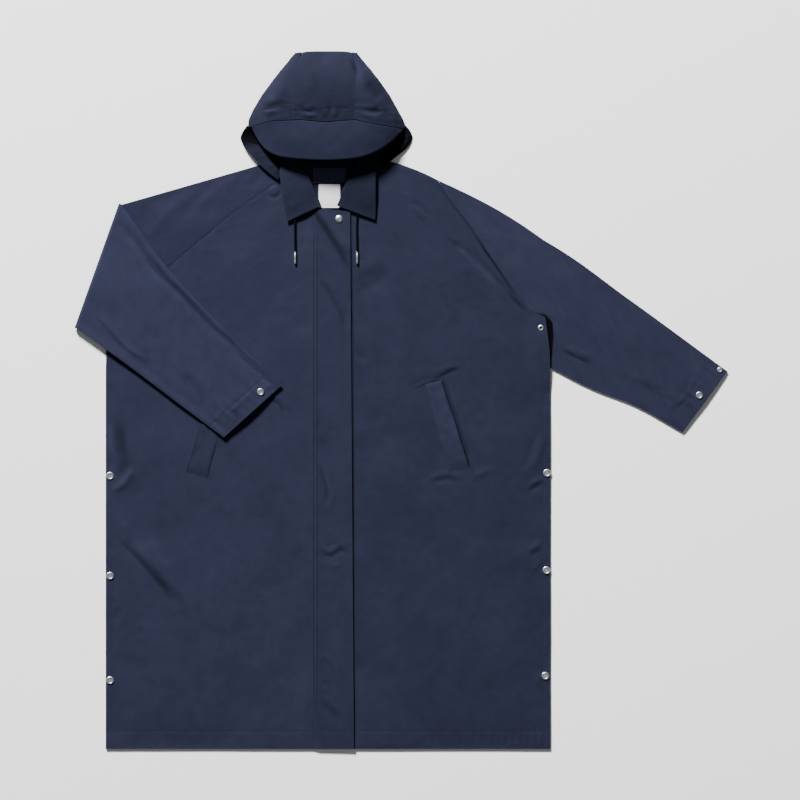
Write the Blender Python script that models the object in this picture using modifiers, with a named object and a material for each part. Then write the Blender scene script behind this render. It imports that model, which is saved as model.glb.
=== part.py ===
"""Hooded raincoat laid flat on its back: raglan sleeves, one folded over the front, and a puffed hood.

Blender 4.5, metres, +Z up. Every table is in millimetres on the coat: u runs across from the middle of the
body, positive on the wearer's left, and v runs up from the hem. Heights are in millimetres above the floor.
"""

import math

import bmesh
import bpy
import numpy as np
from mathutils import Matrix, Vector

MM = 0.001
BODY_MIDDLE_X = -131.4  # the body's middle in the part's frame, whose origin is under the middle of it all
HEM_Y = -626.4

WALL = 1.5
GAP = 0.3
BACK_BASE = 0.0
FRONT_BASE = BACK_BASE + WALL + GAP
FRONT_TOP = FRONT_BASE + WALL
FRONT_LOFT = 1.5  # how far the fronts puff up off the back between their seams
SLEEVE_LOFT = 2.0

BODY_HALF = 400.0
HEM_V = -1.5
CLOSURE_U = 8.0  # where the two fronts meet, under the storm flap
CLOSURE_TURN_V = 800.0  # up to here the rows of the fronts run straight across to their sides
ARMPIT = (391.0, 776.0)
BACK_NECK_V = 1047.0
BACK_NECK_HALF = 119.0

# Front raglan seams, from the neck or shoulder down to the armpit: (u, v).
RAGLAN_LEFT = [
    (198, 1022), (209, 1001), (225, 977), (255, 939), (292, 886), (328, 833), (344, 812), (363, 789),
    (391, 776),
]
RAGLAN_RIGHT = [
    (-88, 1021), (-101, 1012), (-117, 1003), (-153, 977), (-188, 950), (-232, 913), (-278, 873),
    (-335, 824), (-391, 776),
]
# The body's side below the armpit: (half width, v).
SIDE = [(391, 776), (395, 747), (399, 716), (400, 684)]
# The front neckline from the closure to the shoulder: (u, v).
NECK_LEFT = [(8, 961), (27, 966), (43, 977), (58, 994), (68, 1015), (74, 1035), (77, 1053)]
NECK_RIGHT = [(8, 961), (-11, 966), (-27, 977), (-42, 992), (-56, 1006), (-70, 1016)]
# The left shoulder's outline from the raglan seam to the neck: (u, v).
SHOULDER_LEFT = [(198, 1022), (176, 1033), (157, 1041), (130, 1051), (108, 1056)]

# Sleeve stations from the raglan seam to the cuff: (top u, top v, underarm u, underarm v).
SLEEVE_LEFT = [(387, 915, 475, 646), (544, 806, 556, 614), (719, 678, 638, 568)]
SHOULDER_BOW = 6.0  # how far the left sleeve's top edge bows out over the shoulder
SLEEVE_ABOVE_ARMPIT = 0.6  # the share of the sleeve's width whose rows start on the raglan seam
SLEEVE_RIGHT = [(-292, 868, -360, 689), (-198, 767, -266, 618), (-83, 653, -187, 559)]
# The folded sleeve's edge, where it turns over: (u, v) at its top and underarm ends.
FOLD_EDGE = [(-376, 980), (-456, 756)]
FOLD_AXIS_HEIGHT = 5.6
FOLD_STEPS = 6

# Broad folds of the fronts: (from u, from v, to u, to v, width, height).
FRONT_FOLDS = [
    (-372, 390, -270, 262, 70, 2.4),
    (-392, 520, -330, 470, 60, 1.8),
    (300, 905, 250, 820, 70, 1.6),
    (370, 380, 330, 300, 70, 1.5),
    (-120, 600, -70, 500, 80, 1.4),
]
ARMPIT_LIFT = 4.5  # how far the left front's side edge stands over the sleeve just below the armpit
ARMPIT_LIFT_FROM = 640.0
# Straight lines near the raglan seams, v = start - slope * |u|, from which the loft of the fronts dies out.
LOFT_LINE_LEFT = (1268.0, 1.26)
LOFT_LINE_RIGHT = (1092.0, 0.81)
LOFT_FADE = 90.0

STORM_FLAP = {
    "left": -27.0, "right_top": 40.0, "right_hem": 47.0, "top_left": 974.0, "top_right": 965.0, "rise": 1.2,
}
WELT = {"corners": [(173, 655), (205, 664), (257, 502), (216, 491)], "gap": 0.5}
WELT_DROP = {"welt_left": 0.0, "welt_right": 9.0}

# The hood's outline from its crown down to the ends of the visor seam: (v, right side u, left side u).
HOOD_OUTLINE = [
    (1252, -56, 50), (1249, -61, 54), (1242, -67, 59), (1234, -73, 66), (1220, -85, 77), (1202, -99, 92),
    (1175, -119, 111), (1148, -135, 126), (1130, -143, 136), (1117, -144, 139),
]
# Its floor side below the visor seam, under the casing: (v, half width).
HOOD_FLOOR_EDGE = [(1117, 141), (1098, 141), (1078, 132), (1062, 116), (1047, 96)]
# The two seams of the hood's centre strip on its upper side: (v, right u, left u).
HOOD_SEAMS = [
    (1254, -47, 43), (1240, -52, 46), (1217, -61, 52), (1183, -65, 50), (1150, -65, 49), (1120, -66, 48),
]
CROWN_V = 1254.0
# Where the rows of its three panels lie, so that they meet along the seams.
HOOD_ROWS = [1250, 1240, 1229, 1217, 1200, 1183, 1167, 1150, 1135, 1117]
HOOD_HEIGHT = 42.0
HOOD_EDGE_RADIUS = 3.5
HOOD_TURN = math.radians(140)  # how far round the outline the edge turns before the upper skin starts
HOOD_FLOOR_SEAM = 45.0  # the centre strip's half width on the floor side
HOOD_MIDDLE_U = -2.0
VISOR_SEAM_GAP = 1.2
HOOD_EDGE_HEIGHT = 6.5
HOOD_PUFF = 2.2  # the exponent of its rise from the outline
HOOD_CROWN_BOW = 1.5  # how far the centre strip bows up between its seams
VISOR_BOW = 2.0
# The visor seam and the visor's free edge: (u, v, height of the free edge).
VISOR_SEAM = [
    (-137, 1118), (-101, 1127), (-49, 1129), (-7, 1125), (49, 1129), (88, 1121), (124, 1116), (134, 1114),
]
VISOR_EDGE = [
    (-137, 1114, 11), (-119, 1084, 20), (-96, 1067, 28), (-61, 1060, 34), (-4, 1057, 38), (53, 1061, 35),
    (88, 1073, 30), (113, 1089, 23), (129, 1105, 15), (134, 1109, 11),
]
# The casing strips down the face opening: (outer u, outer v, outer height, inner u, inner v, inner height).
RIM_RIGHT = [
    (-152, 1117, 6.5, -147, 1113, 4.4), (-157, 1107, 8.0, -138, 1101, 4.4),
    (-158, 1096, 10.0, -139, 1095, 4.4), (-146, 1074, 11.5, -129, 1084, 4.4),
    (-121, 1049, 11.5, -108, 1062, 4.4), (-89, 1021, 8.5, -86, 1038, 4.4),
]
RIM_LEFT = [
    (147, 1117, 6.5, 142, 1112, 4.4), (151, 1105, 8.0, 132, 1099, 4.4), (151, 1094, 10.0, 132, 1093, 4.4),
    (143, 1080, 11.5, 127, 1084, 4.4), (127, 1064, 11.5, 114, 1074, 4.4), (103, 1049, 9.5, 95, 1060, 4.4),
    (92, 1035, 8.5, 90, 1047, 4.4),
]

# The collar's halves from the front edge round to the middle of the back: (roll u, roll v, edge u, edge v).
COLLAR_RIGHT = [
    (-12, 976, -74, 947), (-18, 990, -77, 965), (-24, 1004, -80, 985), (-31, 1021, -83, 1004),
    (-38, 1037, -86, 1024), (-43, 1050, -86, 1043), (-38, 1058, -74, 1068), (-24, 1064, -42, 1086),
    (0, 1066, 0, 1092),
]
COLLAR_LEFT = [
    (16, 976, 85, 950), (22, 990, 86, 970), (26, 1004, 86, 990), (34, 1021, 86, 1010),
    (41, 1037, 86, 1033), (47, 1052, 84, 1056), (41, 1059, 72, 1074), (26, 1064, 43, 1088),
    (0, 1066, 0, 1092),
]
COLLAR_AXIS_HEIGHT = 8.2
COLLAR_OUTER_RADIUS = 2.8
COLLAR_STAND_DEPTH = 14.0
COLLAR_TIP_LIFT = 1.5
COLLAR_PUFF = 0.8

NECK_FACING = {"low": (-27, 1017), "high": (31, 1044)}
NECK_LABEL = {"low": (-17, 972), "high": (22, 1015), "wall": 1.0}

CORD_RADIUS = 1.6
CORD_HEIGHT = 5.9
AGLET_RADIUS = 2.1
AGLET_LENGTH = 22.0
# Each drawcord from under the collar to its metal end: (u, v).
DRAWCORD_RIGHT = [(-56, 978), (-58, 965), (-59.5, 945), (-59.5, 920), (-59, 893)]
DRAWCORD_LEFT = [(54, 980), (53, 966), (52, 945), (52, 920), (52.5, 893)]

SNAP_RADIUS = 7.2
SNAP_HEIGHT = 2.0
NECK_SNAP_HEIGHT = 2.8
SNAP_TOP_SHARE = 0.78  # the top of a snap's cap as a share of its base
CUFF_SNAP_RADIUS = 6.6
SIDE_SNAPS = {"right": [(-392, 490), (-392, 310), (-392, 122)], "left": [(394, 495), (393, 320), (391, 130)]}
NECK_SNAP = (20, 952)
CUFF_SNAPS = {"snap_cuff_left_front": (668, 635), "snap_cuff_left_top": (706, 682)}
CUFF_SNAP_RIGHT = (-121, 641)
EYELET = {"at": (383, 756), "radius": 5.4, "hole": 1.8, "height": 1.2}

CLOTH = {"name": "navy_cloth", "colour": (0.030, 0.039, 0.071), "roughness": 0.72, "metallic": 0.0}
LABEL = {"name": "white_label", "colour": (0.62, 0.63, 0.62), "roughness": 0.8, "metallic": 0.0}
METAL = {"name": "brushed_metal", "colour": (0.46, 0.47, 0.50), "roughness": 0.35, "metallic": 1.0}
CORD = {"name": "black_cord", "colour": (0.012, 0.012, 0.015), "roughness": 0.8, "metallic": 0.0}


def place(u, v, height):
    """A place on the coat, in millimetres, as a point of the part's frame in metres."""
    return Vector(((u + BODY_MIDDLE_X) * MM, (v + HEM_Y) * MM, height * MM))


def ease(share):
    """A smooth rise from 0 to 1."""
    share = min(max(share, 0.0), 1.0)
    return share * share * (3.0 - 2.0 * share)


def mix(a, b, share):
    return np.asarray(a, float) * (1.0 - share) + np.asarray(b, float) * share


def smooth(points, steps):
    """A smooth curve through the points, with the given steps between each two."""
    points = [np.asarray(p, float) for p in points]
    ends = [2 * points[0] - points[1], *points, 2 * points[-1] - points[-2]]
    curve = [points[0]]
    for a, b, c, d in zip(ends, ends[1:], ends[2:], ends[3:]):
        linear, square, cube = c - a, 2 * a - 5 * b + 4 * c - d, 3 * b - a - 3 * c + d
        for k in range(1, steps + 1):
            t = k / steps
            curve.append(b + 0.5 * (linear * t + square * t**2 + cube * t**3))
    return curve


def shares_along(points):
    """How far along the line each of its points lies, from 0 to 1."""
    steps = [np.linalg.norm(np.subtract(b, a)) for a, b in zip(points, points[1:])]
    along = np.concatenate([[0.0], np.cumsum(steps)])
    return along / along[-1]


def at_shares(points, shares):
    """The points of a line at the given shares of its length."""
    own = shares_along(points)
    columns = np.array(points, float).T
    return np.array([np.interp(shares, own, column) for column in columns]).T


def material(kind):
    made = bpy.data.materials.get(kind["name"])
    if made:
        return made
    made = bpy.data.materials.new(kind["name"])
    made.use_nodes = True
    shader = made.node_tree.nodes["Principled BSDF"]
    shader.inputs["Base Color"].default_value = (*kind["colour"], 1.0)
    shader.inputs["Roughness"].default_value = kind["roughness"]
    shader.inputs["Metallic"].default_value = kind["metallic"]
    made.diffuse_color = (*kind["colour"], 1.0)
    return made


def add_object(name, bm, kind):
    mesh = bpy.data.meshes.new(name)
    bm.to_mesh(mesh)
    bm.free()
    made = bpy.data.objects.new(name, mesh)
    coat.objects.link(made)
    mesh.materials.append(material(kind))
    return made


def inset_edges(bm, distance):
    """Move the sheet's edge inwards along itself, so that sewn neighbours stay apart."""
    bm.normal_update()
    moves = {}
    for edge in bm.edges:
        if not edge.is_boundary:
            continue
        face = edge.link_faces[0]
        along = (edge.verts[1].co - edge.verts[0].co).normalized()
        inwards = along.cross(face.normal)
        if inwards.dot(face.calc_center_median() - edge.verts[0].co) < 0:
            inwards.negate()
        for vert in edge.verts:
            moves.setdefault(vert, []).append(inwards)
    for vert, directions in moves.items():
        total = sum(directions, Vector())
        reach = max(total.dot(directions[0]) / total.length, 0.4)
        vert.co += total.normalized() * distance * MM / reach


def sheet(name, columns, rows, point, kind=CLOTH, wall=WALL, facing=1, grow=1, kept=None):
    """A cloth piece: a grid placed by point(column, row), inset at its edges and given a wall.

    Its first cell faces up or down (facing 1 or -1), and the wall grows with that face or against it
    (grow 1 or -1).
    """
    bm = bmesh.new()
    bmesh.ops.create_grid(bm, x_segments=columns, y_segments=rows, size=0.5)
    cells = {v: (round((v.co.x + 0.5) * columns), round((v.co.y + 0.5) * rows)) for v in bm.verts}
    if kept:
        dropped = [f for f in bm.faces if not kept(*(min(cells[v][k] for v in f.verts) for k in (0, 1)))]
        bmesh.ops.delete(bm, geom=dropped, context="FACES")
    for vert in bm.verts:
        vert.co = point(*cells[vert])
    bm.normal_update()
    first = next(v for v, cell in cells.items() if cell == (0, 0))
    if first.link_faces[0].normal.z * facing < 0:
        bmesh.ops.reverse_faces(bm, faces=bm.faces)
    inset_edges(bm, GAP / 2)
    made = add_object(name, bm, kind)
    made.data.shade_smooth()
    made.data.set_sharp_from_angle(angle=math.radians(50))
    solidify = made.modifiers.new("wall", "SOLIDIFY")
    solidify.thickness = wall * MM
    solidify.offset = grow
    return made


def front_relief(u, v):
    """How far a front's cloth stands above its base, from its loft, its folds and the lift at the armpit."""
    start, slope = LOFT_LINE_LEFT if u > 0 else LOFT_LINE_RIGHT
    below_raglan = (start - slope * abs(u) - v) / math.hypot(1, slope)
    across = ease((abs(u - CLOSURE_U) - 50) / LOFT_FADE) * ease((BODY_HALF - abs(u)) / LOFT_FADE)
    height = FRONT_LOFT * across * ease(v / 70) * ease(below_raglan / LOFT_FADE)
    for from_u, from_v, to_u, to_v, width, rise in FRONT_FOLDS:
        length = math.hypot(to_u - from_u, to_v - from_v)
        along_u = (to_u - from_u) / length
        along_v = (to_v - from_v) / length
        along = ((u - from_u) * along_u + (v - from_v) * along_v) / length
        off = abs((u - from_u) * along_v - (v - from_v) * along_u) / width
        height += rise * ease(1 - off) * ease(1 - abs(2 * along - 1)) * ease(v / 40)
    lifted = math.sin(math.pi * min(max((v - ARMPIT_LIFT_FROM) / (ARMPIT[1] - ARMPIT_LIFT_FROM), 0), 1))
    return height + ARMPIT_LIFT * lifted * ease(1 - (BODY_HALF - u) / 60)


def clear_of_front(u, v, radius):
    """The lowest height at which a flat disc of the radius stays clear of a front."""
    around = [(u + radius * c, v + radius * s) for c, s in ((0, 0), (1, 0), (-1, 0), (0, 1), (0, -1))]
    return FRONT_TOP + max(front_relief(*p) for p in around) + GAP


def body_side(sign, rows):
    """The body's side from the hem to the armpit, at the given side: (u, v)."""
    straight = [(BODY_HALF, v) for v in np.linspace(HEM_V, SIDE[-1][1], rows)[:-1]]
    return [(sign * u, v) for u, v in [*straight, *reversed(SIDE)]]


def fronts():
    for name, sign, raglan, top, neck in (
        ("front_left", 1, RAGLAN_LEFT, SHOULDER_LEFT, NECK_LEFT),
        ("front_right", -1, RAGLAN_RIGHT, [], NECK_RIGHT),
    ):
        side = body_side(sign, 17)
        outer = [*side, *reversed(raglan[:-1]), *top[1:]]
        low = len(side) + 1
        closure = [(CLOSURE_U, v) for v in np.linspace(HEM_V, CLOSURE_TURN_V, low)]
        shares = np.linspace(0, 1, len(outer) - low + 1)[1:]
        inner = [*closure, *at_shares([closure[-1], *neck], shares)]
        columns = 12

        def point(i, j, inner=inner, outer=outer, columns=columns):
            u, v = mix(inner[j], outer[j], i / columns)
            return place(u, v, FRONT_BASE + front_relief(u, v))

        sheet(name, columns, len(outer) - 1, point)


def back_raglan(sign, count):
    neck = (sign * BACK_NECK_HALF, BACK_NECK_V)
    armpit = (sign * ARMPIT[0], ARMPIT[1])
    return [mix(neck, armpit, share) for share in np.linspace(0, 1, count)]


def back_body():
    right = [*body_side(-1, 3), *reversed(back_raglan(-1, 5)[:-1])]
    left = [*body_side(1, 3), *reversed(back_raglan(1, 5)[:-1])]

    def point(i, j):
        return place(*mix(right[j], left[j], i / 2), BACK_BASE)

    sheet("back_body", 2, len(right) - 1, point)


def spread_sleeve():
    """The wearer's left sleeve, laid out beside the body: a front piece on a back piece."""
    side = SIDE[1:]
    pieces = {
        "sleeve_left_front": ([*RAGLAN_LEFT, *side], FRONT_BASE, SLEEVE_LOFT),
        "sleeve_left_back": ([(110, 1054), *back_raglan(1, 5), *side], BACK_BASE, 0.0),
    }
    steps = 4
    columns = steps * len(SLEEVE_LEFT)
    for name, (start, base, loft) in pieces.items():
        own = shares_along(start)
        shares = np.interp(own, [0, own[-len(side) - 1], 1], [0, SLEEVE_ABOVE_ARMPIT, 1])

        def point(i, j, start=start, base=base, loft=loft, shares=shares):
            u, v = smooth([start[j], *(mix(s[:2], s[2:], shares[j]) for s in SLEEVE_LEFT)], steps)[i]
            v += SHOULDER_BOW * (1 - shares[j]) * math.sin(math.pi * min(i / steps, 1))
            along = i / columns
            puff = loft * math.sin(math.pi * shares[j]) * ease(along * 4) * ease((1.25 - along) * 3)
            return place(u, v, base + puff)

        sheet(name, columns, len(start) - 1, point)


def folded_sleeve():
    """The wearer's right sleeve, folded over onto the front: each piece runs out, round and back."""
    top, under = (np.array(p, float) for p in FOLD_EDGE)
    along = (under - top) / np.linalg.norm(under - top)
    outwards = np.array([along[1], -along[0]])
    axis = [top - outwards * FOLD_AXIS_HEIGHT, under - outwards * FOLD_AXIS_HEIGHT]
    pieces = {
        "sleeve_right_front": ([(-112, 1052), *RAGLAN_RIGHT, (-394, 757)], FRONT_BASE, SLEEVE_LOFT, 0.0),
        "sleeve_right_back": ([(-114, 1052), *back_raglan(-1, 9), (-394, 757)], BACK_BASE, 0.0, SLEEVE_LOFT),
    }
    before, between = 4, 3
    for name, (start, base, loft_before, loft_after) in pieces.items():
        shares = shares_along(start)
        lofts = (loft_before, loft_after)

        def point(i, j, start=start, base=base, shares=shares, lofts=lofts):
            turn = mix(*axis, shares[j])
            puff = math.sin(math.pi * shares[j])
            if i <= before:
                u, v = mix(start[j], turn, i / before)
                return place(u, v, base + lofts[0] * puff * math.sin(math.pi * i / before))
            if i <= before + FOLD_STEPS:
                angle = math.pi * (i - before) / FOLD_STEPS
                radius = FOLD_AXIS_HEIGHT - base
                u, v = turn + outwards * radius * math.sin(angle)
                return place(u, v, FOLD_AXIS_HEIGHT - radius * math.cos(angle))
            laid = smooth([turn, *(mix(s[:2], s[2:], shares[j]) for s in SLEEVE_RIGHT)], between)
            step = i - before - FOLD_STEPS
            u, v = laid[step]
            return place(u, v, 2 * FOLD_AXIS_HEIGHT - base + lofts[1] * puff * ease(step / 4))

        sheet(name, before + FOLD_STEPS + between * len(SLEEVE_RIGHT), len(start) - 1, point)


def storm_flap():
    rows = 24

    def point(i, j):
        along = j / rows
        top = mix(STORM_FLAP["top_left"], STORM_FLAP["top_right"], i / 4)
        u = mix(STORM_FLAP["left"], mix(STORM_FLAP["right_hem"], STORM_FLAP["right_top"], along), i / 4)
        return place(u, mix(HEM_V, top, along), FRONT_TOP + GAP + STORM_FLAP["rise"] * ease((i - 1) / 3))

    sheet("placket", 4, rows, point)


def welts():
    for name, sign in (("welt_left", 1), ("welt_right", -1)):
        corners = [(sign * u, v - WELT_DROP[name]) for u, v in WELT["corners"]]

        def point(i, j, corners=corners):
            u, v = mix(mix(corners[0], corners[1], i / 3), mix(corners[3], corners[2], i / 3), j / 8)
            return place(u, v, FRONT_TOP + WELT["gap"] + front_relief(u, v))

        sheet(name, 3, 8, point)


def hood_line(table, column, v):
    rows = sorted(table)
    return float(np.interp(v, [r[0] for r in rows], [r[column] for r in rows]))


def hood_seam_height(v):
    """The height of the hood's centre strip along its two seams."""
    share = min(max((CROWN_V - v) / (CROWN_V - VISOR_SEAM[3][1]), 0.0), 1.0)
    return HOOD_EDGE_HEIGHT + (HOOD_HEIGHT - HOOD_EDGE_HEIGHT) * (1 - (1 - share) ** HOOD_PUFF)


def visor_seam_v(u):
    return float(np.interp(u, [p[0] for p in VISOR_SEAM], [p[1] for p in VISOR_SEAM]))


def side_height(u, v):
    """The height of the hood's upper skin, beside its centre strip."""
    column = 1 if u < HOOD_MIDDLE_U else 2
    edge, seam = hood_line(HOOD_OUTLINE, column, v), hood_line(HOOD_SEAMS, column, v)
    share = min(max((edge - u) / (edge - seam), 0.0), 1.0)
    return HOOD_EDGE_HEIGHT + (hood_seam_height(v) - HOOD_EDGE_HEIGHT) * (1 - (1 - share) ** HOOD_PUFF)


def hood_sides():
    """Each side runs from the strip's floor seam, out round the outline and back to its upper seam."""
    lower, turn, upper = 2, 5, 5
    rows_up, rows_down = len(HOOD_ROWS) - 1, len(HOOD_FLOOR_EDGE) - 1
    radius = HOOD_EDGE_RADIUS
    for name, column in (("hood_left", 2), ("hood_right", 1)):
        sign = 1 if column == 2 else -1

        def point(i, j, column=column, sign=sign):
            v = HOOD_ROWS[min(j, rows_up)]
            edge = hood_line(HOOD_OUTLINE, column, v)
            if j > rows_up:
                v, half_width = HOOD_FLOOR_EDGE[j - rows_up]
                edge = sign * half_width
            if i <= lower:
                floor_seam = HOOD_MIDDLE_U + sign * HOOD_FLOOR_SEAM
                return place(mix(floor_seam, edge - sign * radius, i / lower), v, 0.0)
            angle = HOOD_TURN * min((i - lower) / turn, 1.0) - 0.5 * math.pi
            u = edge - sign * radius * (1 - math.cos(angle))
            low = radius * (1 + math.sin(angle))
            if i <= lower + turn:
                return place(u, v, low)
            u = mix(u, hood_line(HOOD_SEAMS, column, v), (i - lower - turn) / upper)
            if j == rows_up:
                v = visor_seam_v(u)
            return place(u, v, max(side_height(u, v), low))

        def kept(i, j):
            return j < rows_up or i < lower

        sheet(name, lower + turn + upper, rows_up + rows_down, point, facing=-1, grow=-1, kept=kept)


def hood_centre():
    """The strip from the visor seam over the crown, round its edge and down the floor side to the neck."""
    upper, turn, lower = len(HOOD_ROWS) - 1, 5, 2
    radius = HOOD_EDGE_RADIUS

    def point(i, j):
        across = i / 4
        if j <= upper:
            v = HOOD_ROWS[upper - j]
            u = mix(hood_line(HOOD_SEAMS, 1, v), hood_line(HOOD_SEAMS, 2, v), across)
            crown = HOOD_CROWN_BOW * math.sin(math.pi * across) * math.sin(math.pi * j / upper)
            return place(u, visor_seam_v(u) if j == 0 else v, hood_seam_height(v) + crown)
        u = HOOD_MIDDLE_U + HOOD_FLOOR_SEAM * (2 * across - 1)
        if j <= upper + turn:
            angle = 0.5 * math.pi - HOOD_TURN * (j - upper) / turn + (HOOD_TURN - math.pi)
            return place(u, CROWN_V - radius * (1 - math.cos(angle)), radius * (1 + math.sin(angle)))
        return place(u, mix(CROWN_V - radius, BACK_NECK_V, (j - upper - turn) / lower), 0.0)

    sheet("hood_centre", 4, upper + turn + lower, point, grow=-1)


def visor():
    columns, rows = 18, 4
    seam = at_shares(VISOR_SEAM, np.linspace(0, 1, columns + 1))
    edge = at_shares(VISOR_EDGE, np.linspace(0, 1, columns + 1))

    def point(i, j):
        share = j / rows
        u, v = mix(seam[i], edge[i][:2], share)
        bow = VISOR_BOW * math.sin(math.pi * share) * math.sin(math.pi * i / columns)
        height = mix(side_height(*seam[i]), edge[i][2], share) + bow
        return place(u, v - VISOR_SEAM_GAP * (1 - share), height)

    sheet("hood_visor", columns, rows, point, grow=-1)


def rims():
    for name, table in (("hood_rim_right", RIM_RIGHT), ("hood_rim_left", RIM_LEFT)):
        curve = smooth(table, 2)

        def point(i, j, curve=curve):
            row = curve[j]
            return place(*mix(row[:3], row[3:], i / 2))

        sheet(name, 2, len(curve) - 1, point)


def collars():
    """Each leaf runs from the stand on the neckline, over the roll and down to its edge."""
    stand, turn, leaf = 1, 4, 4
    for name, table in (("collar_right", COLLAR_RIGHT), ("collar_left", COLLAR_LEFT)):
        curve = smooth(table, 2)
        top = COLLAR_AXIS_HEIGHT + COLLAR_OUTER_RADIUS
        bottom = COLLAR_AXIS_HEIGHT - COLLAR_OUTER_RADIUS

        def point(i, j, curve=curve, top=top, bottom=bottom):
            roll, edge = curve[j][:2], curve[j][2:]
            outwards = (edge - roll) / np.linalg.norm(edge - roll)
            axis = roll + outwards * COLLAR_OUTER_RADIUS
            if i < stand:
                return place(*(axis + outwards * COLLAR_STAND_DEPTH), bottom)
            if i <= stand + turn:
                angle = math.pi * (i - stand) / turn
                u, v = axis - outwards * COLLAR_OUTER_RADIUS * math.sin(angle)
                return place(u, v, COLLAR_AXIS_HEIGHT - COLLAR_OUTER_RADIUS * math.cos(angle))
            share = (i - stand - turn) / leaf
            u, v = mix(axis, edge, share)
            tip = COLLAR_TIP_LIFT * share * ease(1 - j / 5)
            return place(u, v, top + COLLAR_PUFF * math.sin(math.pi * share) + tip)

        sheet(name, stand + turn + leaf, len(curve) - 1, point, facing=-1, grow=-1)


def patch(name, size, base, kind=CLOTH, wall=WALL):
    low, high = size["low"], size["high"]

    def point(i, j):
        return place(mix(low[0], high[0], i / 2), mix(low[1], high[1], j / 2), base)

    sheet(name, 2, 2, point, kind=kind, wall=wall)


def disc(name, u, v, base, radius, height):
    """A snap's cap: a short round cap with a smaller top."""
    bm = bmesh.new()
    bmesh.ops.create_cone(
        bm, cap_ends=True, segments=20, radius1=radius * MM, radius2=radius * SNAP_TOP_SHARE * MM,
        depth=height * MM, matrix=Matrix.Translation(place(u, v, base + height / 2)),
    )
    return add_object(name, bm, METAL)


def snaps():
    flap_top = FRONT_TOP + WALL + 2 * GAP + STORM_FLAP["rise"]
    disc("snap_neck", *NECK_SNAP, flap_top, SNAP_RADIUS, NECK_SNAP_HEIGHT)
    for side, places in SIDE_SNAPS.items():
        for number, (u, v) in enumerate(places, 1):
            base = clear_of_front(u, v, SNAP_RADIUS)
            disc(f"snap_side_{side}_{number}", u, v, base, SNAP_RADIUS, SNAP_HEIGHT)
    for name, (u, v) in CUFF_SNAPS.items():
        disc(name, u, v, FRONT_TOP + GAP + SLEEVE_LOFT, CUFF_SNAP_RADIUS, SNAP_HEIGHT)
    top = 2 * FOLD_AXIS_HEIGHT + SLEEVE_LOFT + GAP
    disc("snap_cuff_right", *CUFF_SNAP_RIGHT, top, CUFF_SNAP_RADIUS, SNAP_HEIGHT)


def eyelet():
    """A ring round a small hole, turned from a square profile."""
    u, v = EYELET["at"]
    base = clear_of_front(u, v, EYELET["radius"])
    bm = bmesh.new()
    inner, outer, height = EYELET["hole"], EYELET["radius"], EYELET["height"]
    corners = [(inner, 0.0), (outer, 0.0), (outer, height), (inner, height)]
    verts = [bm.verts.new((r * MM, 0.0, h * MM)) for r, h in corners]
    edges = [bm.edges.new((verts[k], verts[(k + 1) % 4])) for k in range(4)]
    bmesh.ops.spin(
        bm, geom=[*verts, *edges], cent=(0, 0, 0), axis=(0, 0, 1), angle=2 * math.pi, steps=20,
        use_merge=True,
    )
    bmesh.ops.recalc_face_normals(bm, faces=bm.faces)
    ring = add_object("eyelet_underarm", bm, METAL)
    ring.location = place(u, v, base)


def drawcords():
    for side, route in (("right", DRAWCORD_RIGHT), ("left", DRAWCORD_LEFT)):
        curve = bpy.data.curves.new(f"drawcord_{side}", "CURVE")
        curve.dimensions = "3D"
        curve.bevel_depth = CORD_RADIUS * MM
        curve.bevel_resolution = 2
        curve.use_fill_caps = True
        curve.materials.append(material(CORD))
        points = smooth(route, 3)
        spline = curve.splines.new("POLY")
        spline.points.add(len(points) - 1)
        for knot, (u, v) in zip(spline.points, points):
            knot.co = (*place(u, v, CORD_HEIGHT), 1.0)
        coat.objects.link(bpy.data.objects.new(f"drawcord_{side}", curve))
        u, v = route[-1]
        bm = bmesh.new()
        turned = Matrix.Rotation(math.radians(90), 4, "X")
        middle = Matrix.Translation(place(u, v - GAP - AGLET_LENGTH / 2, CORD_HEIGHT))
        bmesh.ops.create_cone(
            bm, cap_ends=True, segments=16, radius1=AGLET_RADIUS * MM, radius2=AGLET_RADIUS * MM,
            depth=AGLET_LENGTH * MM, matrix=middle @ turned,
        )
        add_object(f"aglet_{side}", bm, METAL)


for old in list(bpy.data.objects):
    bpy.data.objects.remove(old, do_unlink=True)
coat = bpy.data.collections.new("hooded_raincoat")
bpy.context.scene.collection.children.link(coat)

back_body()
fronts()
spread_sleeve()
folded_sleeve()
storm_flap()
welts()
hood_centre()
hood_sides()
visor()
rims()
collars()
patch("neck_facing", NECK_FACING, FRONT_BASE)
patch("neck_label", NECK_LABEL, FRONT_BASE, kind=LABEL, wall=NECK_LABEL["wall"])
snaps()
eyelet()
drawcords()
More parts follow.
